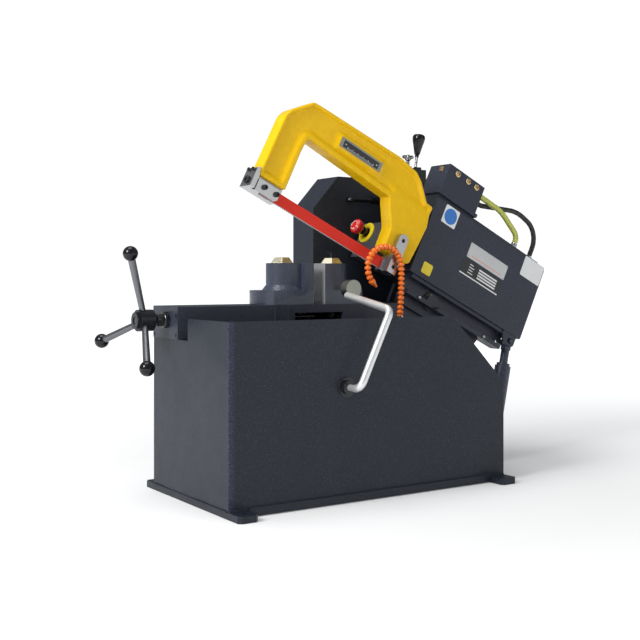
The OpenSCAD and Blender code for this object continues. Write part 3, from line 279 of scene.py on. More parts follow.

# ---- Jaws and clamping bolts ------------------------------------------------
# The jaws are iron castings in hammered blue-grey paint with a machined clamping
# face. Their hexagon bolts are plated yellow above the jaws and painted near black
# below, as painted shade inside the bed.
HAMMER, hammer, put, feed = shader("hammered_paint")
where = put("TexCoord").outputs["Object"]
cells = put("TexVoronoi", {"feature": "SMOOTH_F1"}, Vector=where, Scale=230.0, Smoothness=0.8)
worn = noise(put, where, 9.0, 4.0)
body = two_tone(put, worn, (0.018, 0.024, 0.042, 1), (0.060, 0.074, 0.115, 1))
# The fixed jaw's clamping face is at x 0.0115, the moving jaw's left of it, and the
# bolts' heads begin at z 0.555.
fixed_side = along(put, where, (1, 0, 0), 0.0118, 0.0112)
x = put("SeparateXYZ", None, Vector=where).outputs[0]
over = put("Math", {"operation": "GREATER_THAN"}, _0=x, _1=-0.010)
ground = put("Math", {"operation": "MULTIPLY"}, _0=fixed_side, _1=over.outputs[0]).outputs[0]
feed(hammer, "Base_Color", two_tone(put, ground, body, (0.44, 0.45, 0.46, 1)))
feed(hammer, "Metallic", spread(put, ground, 0.0, 0.4))
feed(hammer, "Roughness", spread(put, worn, 0.22, 0.38))
feed(hammer, "Coat_Weight", 0.3)
dents = cells.outputs["Distance"]
feed(hammer, "Normal", put("Bump", None, Strength=0.8, Distance=0.0007, Height=dents).outputs[0])
dress("fixed_jaw moving_jaw", HAMMER, 0.0015)

YELLOW_ZINC, plated, put, feed = shader("yellow_zinc")
where = put("TexCoord").outputs["Object"]
# Below z 0.555, inside the jaws and the bed, the bolts are painted near black: painted shade.
high = along(put, where, (0, 0, 1), 0.555, 0.560)
film = noise(put, where, 35.0, 3.0)
rainbow = two_tone(put, film, (0.60, 0.55, 0.36, 1), (0.66, 0.64, 0.56, 1))
feed(plated, "Base_Color", two_tone(put, high, (0.05, 0.05, 0.05, 1), rainbow))
feed(plated, "Metallic", 1.0)
feed(plated, "Roughness", spread(put, film, 0.22, 0.38))
feed(plated, "Normal", put("Bump", None, Distance=0.00005, Height=noise(put, where, 300.0)).outputs[0])
dress("fixed_jaw_bolt moving_jaw_bolt", YELLOW_ZINC, 0.0010)

# ---- Shafts, guides, holders and belt ---------------------------------------
# Turned, ground, cast, plated or blackened metal that keeps the fine marks of its
# tool over faint smudges. The belt is moulded rubber, and the ball knobs and the
# pressure pipe are glossy black.
def metal(name, colour, rough, streak=(60, 60, 60), wear=0.06, relief=0.00004, metallic=1.0):
    """Bare or plated metal: fine tool marks along one direction over faint smudges."""
    mat, bsdf, put, feed = shader(name)
    where = put("TexCoord").outputs["Object"]
    drawn = put("Mapping", None, Vector=where, Scale=streak).outputs[0]
    marks = noise(put, drawn, 6.0, 4.0, 0.65)
    smudge = noise(put, where, 14.0, 3.0)
    tone = two_tone(put, smudge, rgba(colour, 0.80), rgba(colour, 1.08))
    feed(bsdf, "Base_Color", two_tone(put, marks, tone, rgba(colour, 1.12)))
    feed(bsdf, "Metallic", metallic)
    mixed = put("Math", {"operation": "MULTIPLY"}, _0=marks, _1=smudge).outputs[0]
    feed(bsdf, "Roughness", spread(put, mixed, rough - wear, rough + 2 * wear))
    feed(bsdf, "Normal", put("Bump", None, Strength=0.7, Distance=relief, Height=marks).outputs[0])
    return mat


def plastic(name, colour, rough, coat=0.0, grain=900.0, relief=0.00003, gloss=0.5):
    """Moulded plastic or rubber: a fine matt grain over a slightly uneven colour."""
    mat, bsdf, put, feed = shader(name)
    where = put("TexCoord").outputs["Object"]
    slow = noise(put, where, 18.0, 2.0)
    feed(bsdf, "Base_Color", two_tone(put, slow, rgba(colour, 0.88), rgba(colour)))
    feed(bsdf, "Roughness", spread(put, slow, rough - 0.05, rough + 0.08))
    feed(bsdf, "Coat_Weight", coat)
    feed(bsdf, "Specular_IOR_Level", gloss)
    feed(bsdf, "Normal", put("Bump", None, Distance=relief, Height=noise(put, where, grain)).outputs[0])
    return mat


IRON = metal("cast_iron", (0.16, 0.165, 0.17), 0.5, (40, 40, 40), 0.08, 0.0002)
STEEL = metal("machined_steel", (0.46, 0.47, 0.48), 0.30, (20, 300, 300))
# Dark steel. On the vise screw and nut inside the bed its darkness is painted shade; the hexagon key is
# blackened steel.
DARK_STEEL_AND_SHADE = metal("dark_steel_and_painted_shade", (0.10, 0.10, 0.105), 0.30, (20, 300, 300))
ZINC = metal("bright_zinc", (0.50, 0.51, 0.52), 0.30, (60, 60, 160), 0.08, 0.00012)
BLACKENED = metal("blackened_steel", (0.045, 0.047, 0.052), 0.32, (60, 60, 60), 0.06, 0.00006, 0.75)
BRONZE = metal("bronze", (0.50, 0.33, 0.13), 0.35)
GLOSS = plastic("black_gloss", (0.006, 0.006, 0.008), 0.12, 0.15, 60.0, 0.00001, 0.30)
RUBBER = plastic("black_rubber", (0.016, 0.016, 0.017), 0.42)
dress("crank_pulley ram_guide", IRON)
dress("crankshaft motor_pulley ram", STEEL)
# The screw and nut lie inside the bed: their dark steel is painted shade.
dress("vise_nut vise_screw", DARK_STEEL_AND_SHADE)
dress("coolant_pipe hose_fittings scale_plate", ZINC)
dress("tension_block clamp_plate rear_holder", ZINC, 0.0006)
dress("stop_socket stop_collar valve_block", BLACKENED, 0.0006)
dress("bow_screws", BLACKENED)
dress("bushes", BRONZE)
dress("ball_knobs lever_knob pressure_pipe", GLOSS)
dress("return_hose pressure_hose drive_belt", RUBBER)

# ---- Hub and spokes ---------------------------------------------------------
# A turned hub, nearly black, with three ground steel spokes: the finish changes at
# the hub's radius, measured from the screw's axis.
SCREW_Y, SCREW_Z = 112, 425
SPOKES, spokes, put, feed = shader("spokes_and_hub")
where = put("TexCoord").outputs["Object"]
axis = (0, SCREW_Y / 1000, SCREW_Z / 1000)
from_axis = put("VectorMath", {"operation": "SUBTRACT"}, _0=where, _1=axis).outputs[0]
square = put("VectorMath", {"operation": "MULTIPLY"}, _0=from_axis, _1=(0, 1, 1)).outputs[0]
radius = put("VectorMath", {"operation": "LENGTH"}, _0=square).outputs["Value"]
spoke = contrast(put, radius, 0.0262, 0.0270)
smear = noise(put, where, 25.0, 4.0)
feed(spokes, "Base_Color", two_tone(put, spoke, (0.040, 0.042, 0.048, 1), (0.16, 0.165, 0.18, 1)))
feed(spokes, "Metallic", 0.85)
feed(spokes, "Roughness", spread(put, smear, 0.22, 0.42))
feed(spokes, "Normal", put("Bump", None, Distance=0.00006, Height=noise(put, where, 500.0)).outputs[0])
dress("hub", SPOKES, 0.0006)

# ---- Blade ------------------------------------------------------------------
# High speed steel painted red, down to the bare ground teeth. The paint is scuffed
# along the blade, and its deepest scratches show metal.
RED, red, put, feed = shader("blade_red")
where = put("TexCoord").outputs["Object"]
paint_edge = along(put, where, (0.4415, 0, 0.8973), 0.5627, 0.5632)
scuffs = noise(put, put("Mapping", None, Vector=where, Scale=(60, 60, 500)).outputs[0], 2.0, 5.0, 0.7)
scratch = contrast(put, scuffs, 0.66, 0.74)
cover = put("Math", {"operation": "SUBTRACT", "use_clamp": True}, _0=paint_edge, _1=scratch).outputs[0]
tone = two_tone(put, noise(put, where, 12.0, 3.0), (0.58, 0.018, 0.008, 1), (0.72, 0.032, 0.013, 1))
feed(red, "Base_Color", two_tone(put, cover, (0.40, 0.40, 0.41, 1), tone))
feed(red, "Metallic", spread(put, cover, 1.0, 0.0))
feed(red, "Roughness", spread(put, scuffs, 0.30, 0.42))
feed(red, "Specular_IOR_Level", 0.22)
feed(red, "Normal", put("Bump", None, Strength=0.4, Distance=0.0001, Height=scuffs).outputs[0])
dress("blade", RED)

# ---- Floor ------------------------------------------------------------------
# A pale matt sweep of paper under the machine. It glows faintly, more so far away,
# so that it meets the white surround without a line.
floor_mat, floor_shader, put, feed = shader("studio_floor")
where = put("TexCoord").outputs["Object"]
patches = noise(put, where, 3.0)
feed(floor_shader, "Base_Color", (0.76, 0.76, 0.76, 1))
feed(floor_shader, "Roughness", spread(put, patches, 0.85, 0.95))
feed(floor_shader, "Specular_IOR_Level", 0.1)
feed(floor_shader, "Emission_Color", (1, 1, 1, 1))
away = put("VectorMath", {"operation": "LENGTH"}, _0=where).outputs["Value"]
glow = put("Mix", None, _0=contrast(put, away, 0.7, 4.0), _2=0.10, _3=0.75).outputs[0]
feed(floor_shader, "Emission_Strength", glow)
floor_mesh = bpy.data.meshes.new("floor")
floor_mesh.from_pydata([(-30, -30, 0), (30, -30, 0), (30, 30, 0), (-30, 30, 0)], [], [(0, 1, 2, 3)])
floor_mesh.materials.append(floor_mat)
floor = bpy.data.objects.new("floor", floor_mesh)
bpy.context.scene.collection.objects.link(floor)

# ---- Bow casting ------------------------------------------------------------
# One yellow casting. Its web lies 9 mm inside a rounded rim, 6 mm on the back, with
# a steep step along the outer rim and a wide slope along the inner one. It rises to
# the rim's level round the holders and under the scale.
YELLOW = paint(
    "bow_yellow", (0.74, 0.44, 0.0015), (0.80, 0.48, 0.003), 60.0, 0.0006, 0.30, 0.12,
    (0.94, 1.04), gloss=0.18,
)
dress("bow_frame", YELLOW)
TILT = math.radians(26.2)
PIVOT_X, PIVOT_Z = 348, 459


def on_head(points):
    """Points (u, y, n) in millimetres to the row frame in metres, by the docstring's turn."""
    u, y, n = np.asarray(points, float).T
    c, s = math.cos(TILT), math.sin(TILT)
    return np.stack([PIVOT_X + u * c + n * s, y, PIVOT_Z - u * s + n * c], 1) / 1000


def unit(v):
    """A vector divided by its length."""
    v = np.asarray(v, float)
    return v / np.linalg.norm(v)


def corner(a, b, c, radius, steps):
    """An arc of that radius that touches both sides of the corner b. Its centre lies on
    the bisector, at the radius over the sine of half the angle. Point t is the first
    spoke times sin(turn (1 - t)) plus the last times sin(turn t), over sin(turn)."""
    a, b, c = (np.asarray(p, float) for p in (a, b, c))
    if radius <= 0:
        return [b]
    u, v = unit(a - b), unit(c - b)
    half = math.acos(max(-1.0, min(1.0, float(u @ v)))) / 2
    turn = math.pi - 2 * half
    m = b + unit(u + v) * radius / math.sin(half)
    s, e = b + u * radius / math.tan(half) - m, b + v * radius / math.tan(half) - m
    return [m + (s * math.sin(turn * (1 - t)) + e * math.sin(turn * t)) / math.sin(turn)
            for t in np.linspace(0, 1, steps + 1)]


def rounded(points, radii, steps=6):
    """A closed outline with each corner replaced by its arc."""
    k = len(points)
    return np.array([p for i in range(k)
                     for p in corner(points[i - 1], points[i], points[(i + 1) % k], radii[i], steps)])


def add(name, verts, faces, mat, body, slot, sharp=32):
    """A closed mesh piece in metres, faces turned outward, smooth below that edge angle."""
    mesh = bpy.data.meshes.new(name)
    mesh.from_pydata(np.asarray(verts, float).tolist(), [], faces)
    work = bmesh.new()
    work.from_mesh(mesh)
    bmesh.ops.remove_doubles(work, verts=work.verts, dist=1e-7)
    bmesh.ops.recalc_face_normals(work, faces=work.faces)
    work.to_mesh(mesh)
    work.free()
    mesh.shade_smooth()
    mesh.set_sharp_from_angle(angle=math.radians(sharp))
    mesh.materials.append(mat)
    obj = bpy.data.objects.new(name, mesh)
    bpy.context.scene.collection.objects.link(obj)
    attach(obj, body)
    return obj


def inside(points, loop):
    """True where a ray towards +x crosses the closed outline an odd number of times."""
    a, b = loop, np.roll(loop, -1, 0)
    x, z = points[:, 0, None], points[:, 1, None]
    spans = (a[:, 1] > z) != (b[:, 1] > z)
    rise = np.where(b[:, 1] == a[:, 1], 1e-9, b[:, 1] - a[:, 1])
    return (spans & (x < (b[:, 0] - a[:, 0]) * (z - a[:, 1]) / rise + a[:, 0])).sum(1) % 2 == 1


def far(points, loop):
    """Least distance of each point to the outline's sides: its foot on a side lies at the
    share (w . d) / (d . d) of the side, kept between 0 and 1."""
    a = loop
    d = np.roll(loop, -1, 0) - a
    w = points[:, None] - a
    t = np.clip((w * d).sum(2) / (d * d).sum(1), 0, 1)
    return np.sqrt(((w - t[:, :, None] * d) ** 2).sum(2)).min(1)


def ease(v):
    """The smooth step 3 v^2 - 2 v^3 between 0 and 1."""
    v = np.clip(v, 0, 1)
    return v * v * (3 - 2 * v)


def off_box(points, x0, x1, z0, z1):
    """Distance outside an upright rectangle."""
    dx = np.maximum(np.maximum(x0 - points[:, 0], points[:, 0] - x1), 0)
    dz = np.maximum(np.maximum(z0 - points[:, 1], points[:, 1] - z1), 0)
    return np.hypot(dx, dz)


bow_corners = [
    (-648, 37), (-646, 208), (-637, 227), (-587, 279), (-566, 281), (-289, 291), (-221, 282),
    (-197, 267), (-155, 224), (-131, 223), (-133, 198), (-126, 164), (-131, 110), (-139, 42),
    (-233, 49), (-234, 108), (-267, 163), (-274, 178), (-563, 187), (-566, 146), (-565, 37),
]
bow_radii = [6, 20, 20, 18, 12, 16, 30, 14, 6, 6, 12, 30, 24, 16, 10, 30, 16, 8, 12, 60, 6]
loose = rounded(bow_corners, bow_radii, 7)
# The outline is cut into steps of about 4 mm. Its rounded edge is five loops: at the
# turn t a loop lies EDGE (1 - cos t) inward and EDGE (1 - sin t) behind the face.
outline = []
for a, b in zip(loose, np.roll(loose, -1, 0)):
    cuts = max(1, int(np.linalg.norm(b - a) / 4))
    outline += [a + (b - a) * i / cuts for i in range(cuts)]
outline = np.array(outline)
side = np.roll(outline, -1, 0) - np.roll(outline, 1, 0)
inward = np.stack([side[:, 1], -side[:, 0]], 1) / np.linalg.norm(side, axis=1)[:, None]
EDGE, STEP = 3.5, 2.6
FRONT, BACK = -2.0, 43.0
FRONT_DEPTH, BACK_DEPTH = 9, 6
turns = np.radians([0, 22.5, 45, 67.5, 90])
loops = [outline + inward * EDGE * (1 - math.cos(t)) for t in turns]
deep = [EDGE * (1 - math.sin(t)) for t in turns]
# Each face is filled with staggered rows of points, fine within 27 mm of the outline
# and every third one further in, and triangulated.
rows, grid = 0, []
for z in np.arange(38, 292, STEP):
    x = np.arange(-666, -124, STEP) + STEP / 2 * (rows % 2)
    grid.append(np.stack([x, np.full_like(x, z)], 1))
    rows += 1
grid = np.concatenate(grid)
gap = far(grid, outline)
coarse = (np.round(grid[:, 0] / STEP) % 3 == 0) & (np.round(grid[:, 1] / STEP) % 3 == 0)
grid = grid[inside(grid, outline) & (gap > EDGE + 1.6) & ((gap < 27) | coarse)]
flat = np.concatenate([loops[-1], grid])
ring = len(outline)
cdt = delaunay_2d_cdt([tuple(p) for p in flat], [], [list(range(ring))], 1, 1e-6)
flat = np.array([tuple(p) for p in cdt[0]])
tris = np.array(cdt[2])
# The share of full depth is a product of smooth steps: of the distances to the
# outline and the inner rim, of the height over the front upright's foot, and of the
# distance to the rear holder. On the front the scale's seat is one more.
rim = outline[(outline[:, 0] > -573) & (outline[:, 0] < -232) & (outline[:, 1] < 192)]
level = ease((far(flat, outline) - 7.5) / 5.5) * ease((far(flat, rim) - 11) / 15)
level *= np.where(flat[:, 0] < -520, ease((flat[:, 1] - 44) / 16), 1)
level *= ease(off_box(flat, -262, -120, 0, 196) / 26)
front = level * ease(off_box(flat, -478, -330, 213, 250) / 7)
shell = [np.insert(lo, 1, FRONT + d, 1) for lo, d in zip(loops[:-1], deep)]
shell += [np.insert(lo, 1, BACK - d, 1) for lo, d in zip(loops[:-1], deep)]
verts = np.concatenate(shell + [
    np.stack([flat[:, 0], FRONT + FRONT_DEPTH * front, flat[:, 1]], 1),
    np.stack([flat[:, 0], BACK - BACK_DEPTH * level, flat[:, 1]], 1),
])
i = np.arange(ring)
j = (i + 1) % ring


def band(a, b):
    """Faces between two rings that start at points a and b."""
    return np.stack([a + i, a + j, b + j, b + i], 1).tolist()


faces = band(0, 4 * ring)
for k in range(3):
    faces += band(k * ring, (k + 1) * ring) + band((4 + k) * ring, (5 + k) * ring)
faces += band(3 * ring, 8 * ring) + band(7 * ring, 8 * ring + len(flat))
faces += (tris + 8 * ring).tolist() + (tris + 8 * ring + len(flat)).tolist()
bow = add("bow_casting", on_head(verts), faces, YELLOW, "bow", "bow_yellow", 60)
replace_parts(bow, "bow_frame")

# ---- Screws of the bow ------------------------------------------------------
# Blackened socket head screws with knurled heads hold the tension block, the clamp
# plate and the rear blade holder. A turned piece is a list of rings of radius, height
# and form: c is round, h a hexagon, k knurled, f twelve soft flutes.
def quads(rings, sides):
    """Faces between rings of that many points: point i of a ring, its neighbour (i + 1)
    modulo sides, and the same two of the next ring."""
    first = np.arange((rings - 1) * sides)
    after = first - first % sides + (first + 1) % sides
    return np.stack([first, after, after + sides, first + sides], 1).tolist()


def turned(rings, sides=72):
    """Points and faces of a body along +Z: radius times form(a) times (cos a, sin a), closed
    on the axis at both ends. A hexagon's form is cos 30 over the cosine of the angle to
    its nearest side, a knurl's 1 plus or minus 0.022, a flute's 1 + 0.03 cos 12 a."""
    a = np.linspace(0, 2 * math.pi, sides, endpoint=False)
    forms = {
        "c": np.ones(sides),
        "h": math.cos(math.pi / 6) / np.cos((a + math.pi / 6) % (math.pi / 3) - math.pi / 6),
        "k": 1 + 0.022 * np.sign(np.cos(a * sides / 2)),
        "f": 1 + 0.03 * np.cos(12 * a),
    }
    rings = [r if len(r) == 3 else (*r, "c") for r in rings]
    body = [np.stack([r * forms[f] * np.cos(a), r * forms[f] * np.sin(a), np.full(sides, z)], 1)
            for r, z, f in rings if r > 0]
    n = len(body)
    verts = np.concatenate(body + [[[0, 0, rings[0][1]], [0, 0, rings[-1][1]]]])
    i = np.arange(sides)
    j = (i + 1) % sides
    low, high = np.full(sides, n * sides), np.full(sides, n * sides + 1)
    faces = quads(n, sides) + np.stack([low, j, i], 1).tolist()
    faces += np.stack([high, (n - 1) * sides + i, (n - 1) * sides + j], 1).tolist()
    return verts, faces


def aim(verts, place, way, spin=0.0):
    """Turns +Z onto a direction and moves the origin to a place."""
    z = unit(way)
    x = unit(np.cross([0, 1, 0] if abs(z[1]) < 0.9 else [0, 0, 1], z))
    y = np.cross(z, x)
    x, y = x * math.cos(spin) + y * math.sin(spin), y * math.cos(spin) - x * math.sin(spin)
    return np.asarray(verts) @ np.array([x, y, z]) + np.asarray(place, float)


def merged(parts):
    """Several bodies as one list of points and faces."""
    verts, faces, base = [], [], 0
    for v, f in parts:
        verts.append(v)
        faces += [[i + base for i in face] for face in f]
        base += len(v)
    return np.concatenate(verts), faces


def cap_screw(d, h, key, shank=0.0, length=0.0):
    """A socket head screw: its seat at 0, its head up to h, its shank down to -length."""
    low = [(0, -length), (shank / 2, -length), (shank / 2, 0)] if shank else [(0, 0)]
    return turned(low + [
        (d * 0.47, 0), (d / 2, 0.06 * h, "k"), (d / 2, 0.78 * h, "k"),
        (d * 0.485, 0.86 * h), (d * 0.44, h), (key * 0.62, h),
        (key / 2 * 1.06, h - 0.04 * h, "h"), (key / 2, h - 0.12 * h, "h"),
        (key / 2, h * 0.42, "h"), (0, h * 0.36),
    ], 96)


def placed(body, place, way, spin=0.0):
    """A turned body with its +Z on a direction and its origin at a place."""
    return aim(body[0], place, way, spin), body[1]


TO_FRONT, TO_LEFT = (0, -1, 0), (-1, 0, 0)
heads = [placed(cap_screw(13, 8, 6.9, 8, 9.2), (u, -2, 16), TO_FRONT, 0.3) for u in (-620, -583)]
heads += [placed(cap_screw(20, 6, 11.5, 14, 5.8), (-660, 20, 17), TO_LEFT, 0.2)]
heads += [placed(cap_screw(9, 4.8, 5.2), (-660.8, y, 46), TO_LEFT, 0.1) for y in (11, 32)]
heads += [placed(cap_screw(11, 8, 5.8), (-196, -13, n), TO_FRONT, 0.5) for n in (10, 41, 87)]
verts, faces = merged(heads)
screws = add("bow_socket_screws", on_head(verts), faces, BLACKENED, "bow", "blackened")
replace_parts(screws, "bow_screws")

# ---- Hoses ------------------------------------------------------------------
# The return hose is clear yellow-green plastic, with its bore seen through the wall.
# The pressure hose is black rubber that shows the lay of its wrapping. Both keep the
# routes of their CAD nodes.
def bent(route, radii, steps=16):
    """An open route with each inner corner bent to its own radius."""
    path = [np.asarray(route[0], float)]
    for i in range(1, len(route) - 1):
        path += corner(route[i - 1], route[i], route[i + 1], radii[i - 1], steps)
    return np.array(path + [np.asarray(route[-1], float)])


def even(path, step):
    """The same path with points at equal steps."""
    run = np.concatenate([[0], np.cumsum(np.linalg.norm(np.diff(path, axis=0), axis=1))])
    at = np.linspace(0, run[-1], max(2, int(run[-1] / step)))
    return np.stack([np.interp(at, run, path[:, k]) for k in range(3)], 1)


def swept(path, radius, sides=28):
    """A closed round tube: path point plus radius times (cos a times m plus sin a times
    the cross product of tangent and m). The normal m is carried along by taking off its
    share along the tangent. The radius is one number or one for each point."""
    t = np.gradient(path, axis=0)
    t /= np.linalg.norm(t, axis=1)[:, None]
    m = unit(np.cross(t[0], [0, 1, 0] if abs(t[0][1]) < 0.9 else [0, 0, 1]))
    a = np.linspace(0, 2 * math.pi, sides, endpoint=False)
    radius = np.broadcast_to(radius, len(path))
    rings = []
    for k in range(len(path)):
        m = unit(m - (m @ t[k]) * t[k])
        spokes = np.outer(np.cos(a), m) + np.outer(np.sin(a), np.cross(t[k], m))
        rings.append(path[k] + radius[k] * spokes)
    i = np.arange(sides)
    caps = [i.tolist(), ((len(path) - 1) * sides + i[::-1]).tolist()]
    return np.concatenate(rings), caps + quads(len(path), sides)


def winding(obj, sides, step):
    """Stores (cos a, sin a, distance along) of each point of a tube, for its material."""
    k = np.arange(len(obj.data.vertices))
    spin = obj.data.attributes.new("spin", "FLOAT_VECTOR", "POINT")
    around = 2 * math.pi * (k % sides) / sides
    data = np.stack([np.cos(around), np.sin(around), (k // sides) * step], 1)
    spin.data.foreach_set("vector", data.astype(np.float32).ravel())


CLEAR, clear, put, feed = shader("clear_yellow_hose")
where = put("TexCoord").outputs["Object"]
cloud = noise(put, where, 60.0, 3.0)
feed(clear, "Base_Color", two_tone(put, cloud, (0.56, 0.62, 0.07, 1), (0.72, 0.74, 0.16, 1)))
feed(clear, "Transmission_Weight", 0.35)
feed(clear, "Roughness", spread(put, cloud, 0.10, 0.22))
feed(clear, "Coat_Weight", 0.5)
feed(clear, "Normal", put("Bump", None, Distance=0.0001, Height=cloud).outputs[0])

WRAP, wrap, put, feed = shader("wrapped_rubber")
lay = put("Attribute", {"attribute_name": "spin"}).outputs["Vector"]
part = put("SeparateXYZ", None, Vector=lay)
around = put("Math", {"operation": "ARCTAN2"}, _0=part.outputs[1], _1=part.outputs[0]).outputs[0]
turn_on = put("Math", {"operation": "MULTIPLY_ADD"}, _0=part.outputs[2], _1=1.6, _2=around).outputs[0]
cord = put("Math", {"operation": "SINE"}, _0=turn_on).outputs[0]
raised = contrast(put, cord, -1.0, 1.0)
feed(wrap, "Base_Color", two_tone(put, raised, (0.010, 0.010, 0.010, 1), (0.020, 0.020, 0.021, 1)))
cloud = noise(put, put("TexCoord").outputs["Object"], 40.0)
feed(wrap, "Roughness", spread(put, cloud, 0.34, 0.5))
feed(wrap, "Normal", put("Bump", None, Distance=0.0005, Height=cord).outputs[0])

return_path = even(bent([(36, 42, 352), (128, 42, 352), (216, 42, 316), (216, 42, 294)], [120, 28]), 2.5)
wall, bore = (swept(on_head(return_path), radius) for radius in (0.0080, 0.0054))
hose = add("return_tube", *merged([wall, bore]), CLEAR, "head", "clear_yellow")
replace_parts(hose, "return_hose")
route = [(36, 62, 338), (64, 62, 338), (200, 62, 391), (302.7, 62, 378), (302.7, 62, 294)]
pressure_path = even(bent(route, [60, 120, 62]), 2.5)
hose = add("pressure_tube", *swept(on_head(pressure_path), 0.0072), WRAP, "head", "black_rubber")
winding(hose, 28, 0.45)
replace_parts(hose, "pressure_hose")

# ---- Hose ends and plugs ----------------------------------------------------
# Each hose ends in a bright zinc hexagon with a crimped ferrule. The reservoir has a
# breather, a fluted filler cap and four turned brass plugs with a hexagon socket.
BRASS = metal("brass", (0.66, 0.50, 0.29), 0.30, (80, 80, 80), 0.05)
dress("brass_plugs", BRASS)


def hose_end(length):
    """A hexagon on its seat, then a ferrule with three crimped grooves."""
    rows = [(0, 0), (10.2, 0, "h"), (11, 0.8, "h"), (11, 7.2, "h"), (10, 8, "h"), (8.2, 8)]
    z = 8.0
    while z < length - 2.5:
        rows += [(9.1, z + 0.4), (9.1, z + 1.6), (8.3, z + 2.0), (8.3, z + 2.5)]
        z += 2.6
    return turned(rows + [(9.0, length - 0.4), (8.4, length), (0, length)], 72)


ends = [placed(hose_end(16), (20, y, n), (1, 0, 0)) for y, n in ((42, 352), (62, 338))]
ends += [placed(hose_end(18), (u, y, 276), (0, 0, 1), 0.2) for u, y in ((216, 42), (302.7, 62))]
breather = turned([
    (0, 0), (12.2, 0, "h"), (13, 0.8, "h"), (13, 4.4, "h"), (12, 5, "h"),
    (7.6, 5), (8, 5.6), (8, 11), (7, 12), (0, 12),
])
filler = turned([(0, 0), (9, 0), (9, 6.6, "f"), (8.2, 8, "f"), (4, 8), (3.6, 7.4), (0, 7.4)])
ends += [placed(breather, (-86, 60, 368), (0, 0, 1)), placed(filler, (-20, 64, 368), (0, 0, 1))]
verts, faces = merged(ends)
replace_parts(add("screwed_fittings", on_head(verts), faces, ZINC, "head", "zinc"), "hose_fittings")

# A shank in the wall, a flange, a boss and a hexagon socket.
plug = turned([
    (0, -6), (6.9, -6), (7, 0), (8.8, 0), (8.8, 1.4), (8.2, 2.2), (6.0, 2.5), (5.8, 4.6), (5.4, 5.0),
    (3.9, 5.0, "h"), (3.7, 4.7, "h"), (3.7, 0.6, "h"), (0, 0.4),
])
plugs = [placed(plug, (u, 12, 354), TO_FRONT, 0.4 * u) for u in (-84, -42, -8)]
verts, faces = merged(plugs + [placed(plug, (-120, 44, 354), TO_LEFT)])
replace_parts(add("reservoir_plugs", on_head(verts), faces, BRASS, "head", "brass"), "brass_plugs")

# ---- Coolant hose -----------------------------------------------------------
# Orange ball and socket links, moulded and snapped together by hand on the CAD
# node's own path, with a hexagon foot and a tapered nozzle.
ORANGE = plastic("orange_plastic", (0.86, 0.17, 0.010), 0.30, 0.25)
dress("coolant_hose", ORANGE)
LINKS, PITCH = 26, 12.5


def slope(i):
    """The way of link i in radians: 86 degrees plus i / 2 for the first ten, then 91 plus
    13.2 times i less 9."""
    return math.radians(86 + 0.5 * i if i < 10 else 91 + 13.2 * (i - 9))


R, BALL = 8.5, 5.3
skirt = [
    (R * 0.86, -2.3), (R * 0.93, -1.7), (R * 0.975, -0.4), (R, 1.2), (R, 3.2),
    (R * 0.965, 4.3), (R * 0.88, 5.2),
]
waist = [(R * 0.70, 6.2), (R * 0.54, 7.3), (R * 0.47, 8.0)]
ball = [(BALL * math.cos(t), PITCH + BALL * math.sin(t)) for t in np.radians(np.arange(-50, 80, 13))]
link = turned([(0, 2.4), (4.4, 1.2), (5.6, -2.1)] + skirt + waist + ball + [(0, 17.6)], 40)
at = np.array([190.0, -34.0, 427.0])
low_ball = [(BALL * math.cos(t), 8 + BALL * math.sin(t)) for t in np.radians(np.arange(-40, 80, 13))]
foot = turned([(0, 0), (R, 0, "h"), (R, 2.2, "h"), (R * 0.8, 2.8), (4.6, 4)] + low_ball + [(0, 13.2)], 48)
links = [placed(foot, at, (0, 0, 1))]
for i in range(LINKS):
    way = np.array([math.cos(slope(i)), 0, math.sin(slope(i))])
    links.append(placed(link, at + [0, 0, 8], way))
    at = at + PITCH * way
way = (math.cos(slope(LINKS)), 0, math.sin(slope(LINKS)))
nozzle = turned([
    (0, 2.4), (4.4, 1.2), (5.6, -2.1), (R * 0.86, -2.3), (R * 0.95, -1.2), (R, 1.0), (R, 5.2),
    (R * 0.93, 7.0), (5.0, 14.5), (3.5, 21.4), (3.1, 22), (1.7, 22), (1.6, 17), (0, 17),
], 40)
links.append(placed(nozzle, at + [0, 0, 8], way))
verts, faces = merged(links)
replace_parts(add("coolant_links", verts / 1000, faces, ORANGE, "base", "orange", 50), "coolant_hose")

# ---- Emergency stop ---------------------------------------------------------
# A moulded red mushroom on a black stem, in front of a yellow ring. Three white
# curved arrows, as on any twist release, follow with the small hardware.
SIGNAL_YELLOW = plastic("signal_yellow", (0.80, 0.62, 0.02), 0.35, 0.1)
SIGNAL_RED = plastic("signal_red", (0.62, 0.020, 0.018), 0.25, 0.3)
dress("emergency_ring", SIGNAL_YELLOW)
dress("emergency_button", SIGNAL_RED)
stop = np.array([-194.0, 164.0, 119.0])
verts, faces = turned([(0, -4), (11, -4), (11, 14), (11.8, 15), (11.8, 25), (0, 25)])
add("stop_stem", on_head(aim(verts, stop, TO_LEFT)), faces, GLOSS, "emergency_stop", "black_gloss")
verts, faces = turned([
    (0, 24), (13, 24), (17, 27), (20.2, 32.5), (21, 37), (21, 42),
    (20.2, 45), (18.3, 47.2), (14, 48.8), (8, 49.7), (0, 50),
], 96)
verts = on_head(aim(verts, stop, TO_LEFT))
cap = add("stop_mushroom", verts, faces, SIGNAL_RED, "emergency_stop", "signal_red", 50)
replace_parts(cap, "emergency_button")

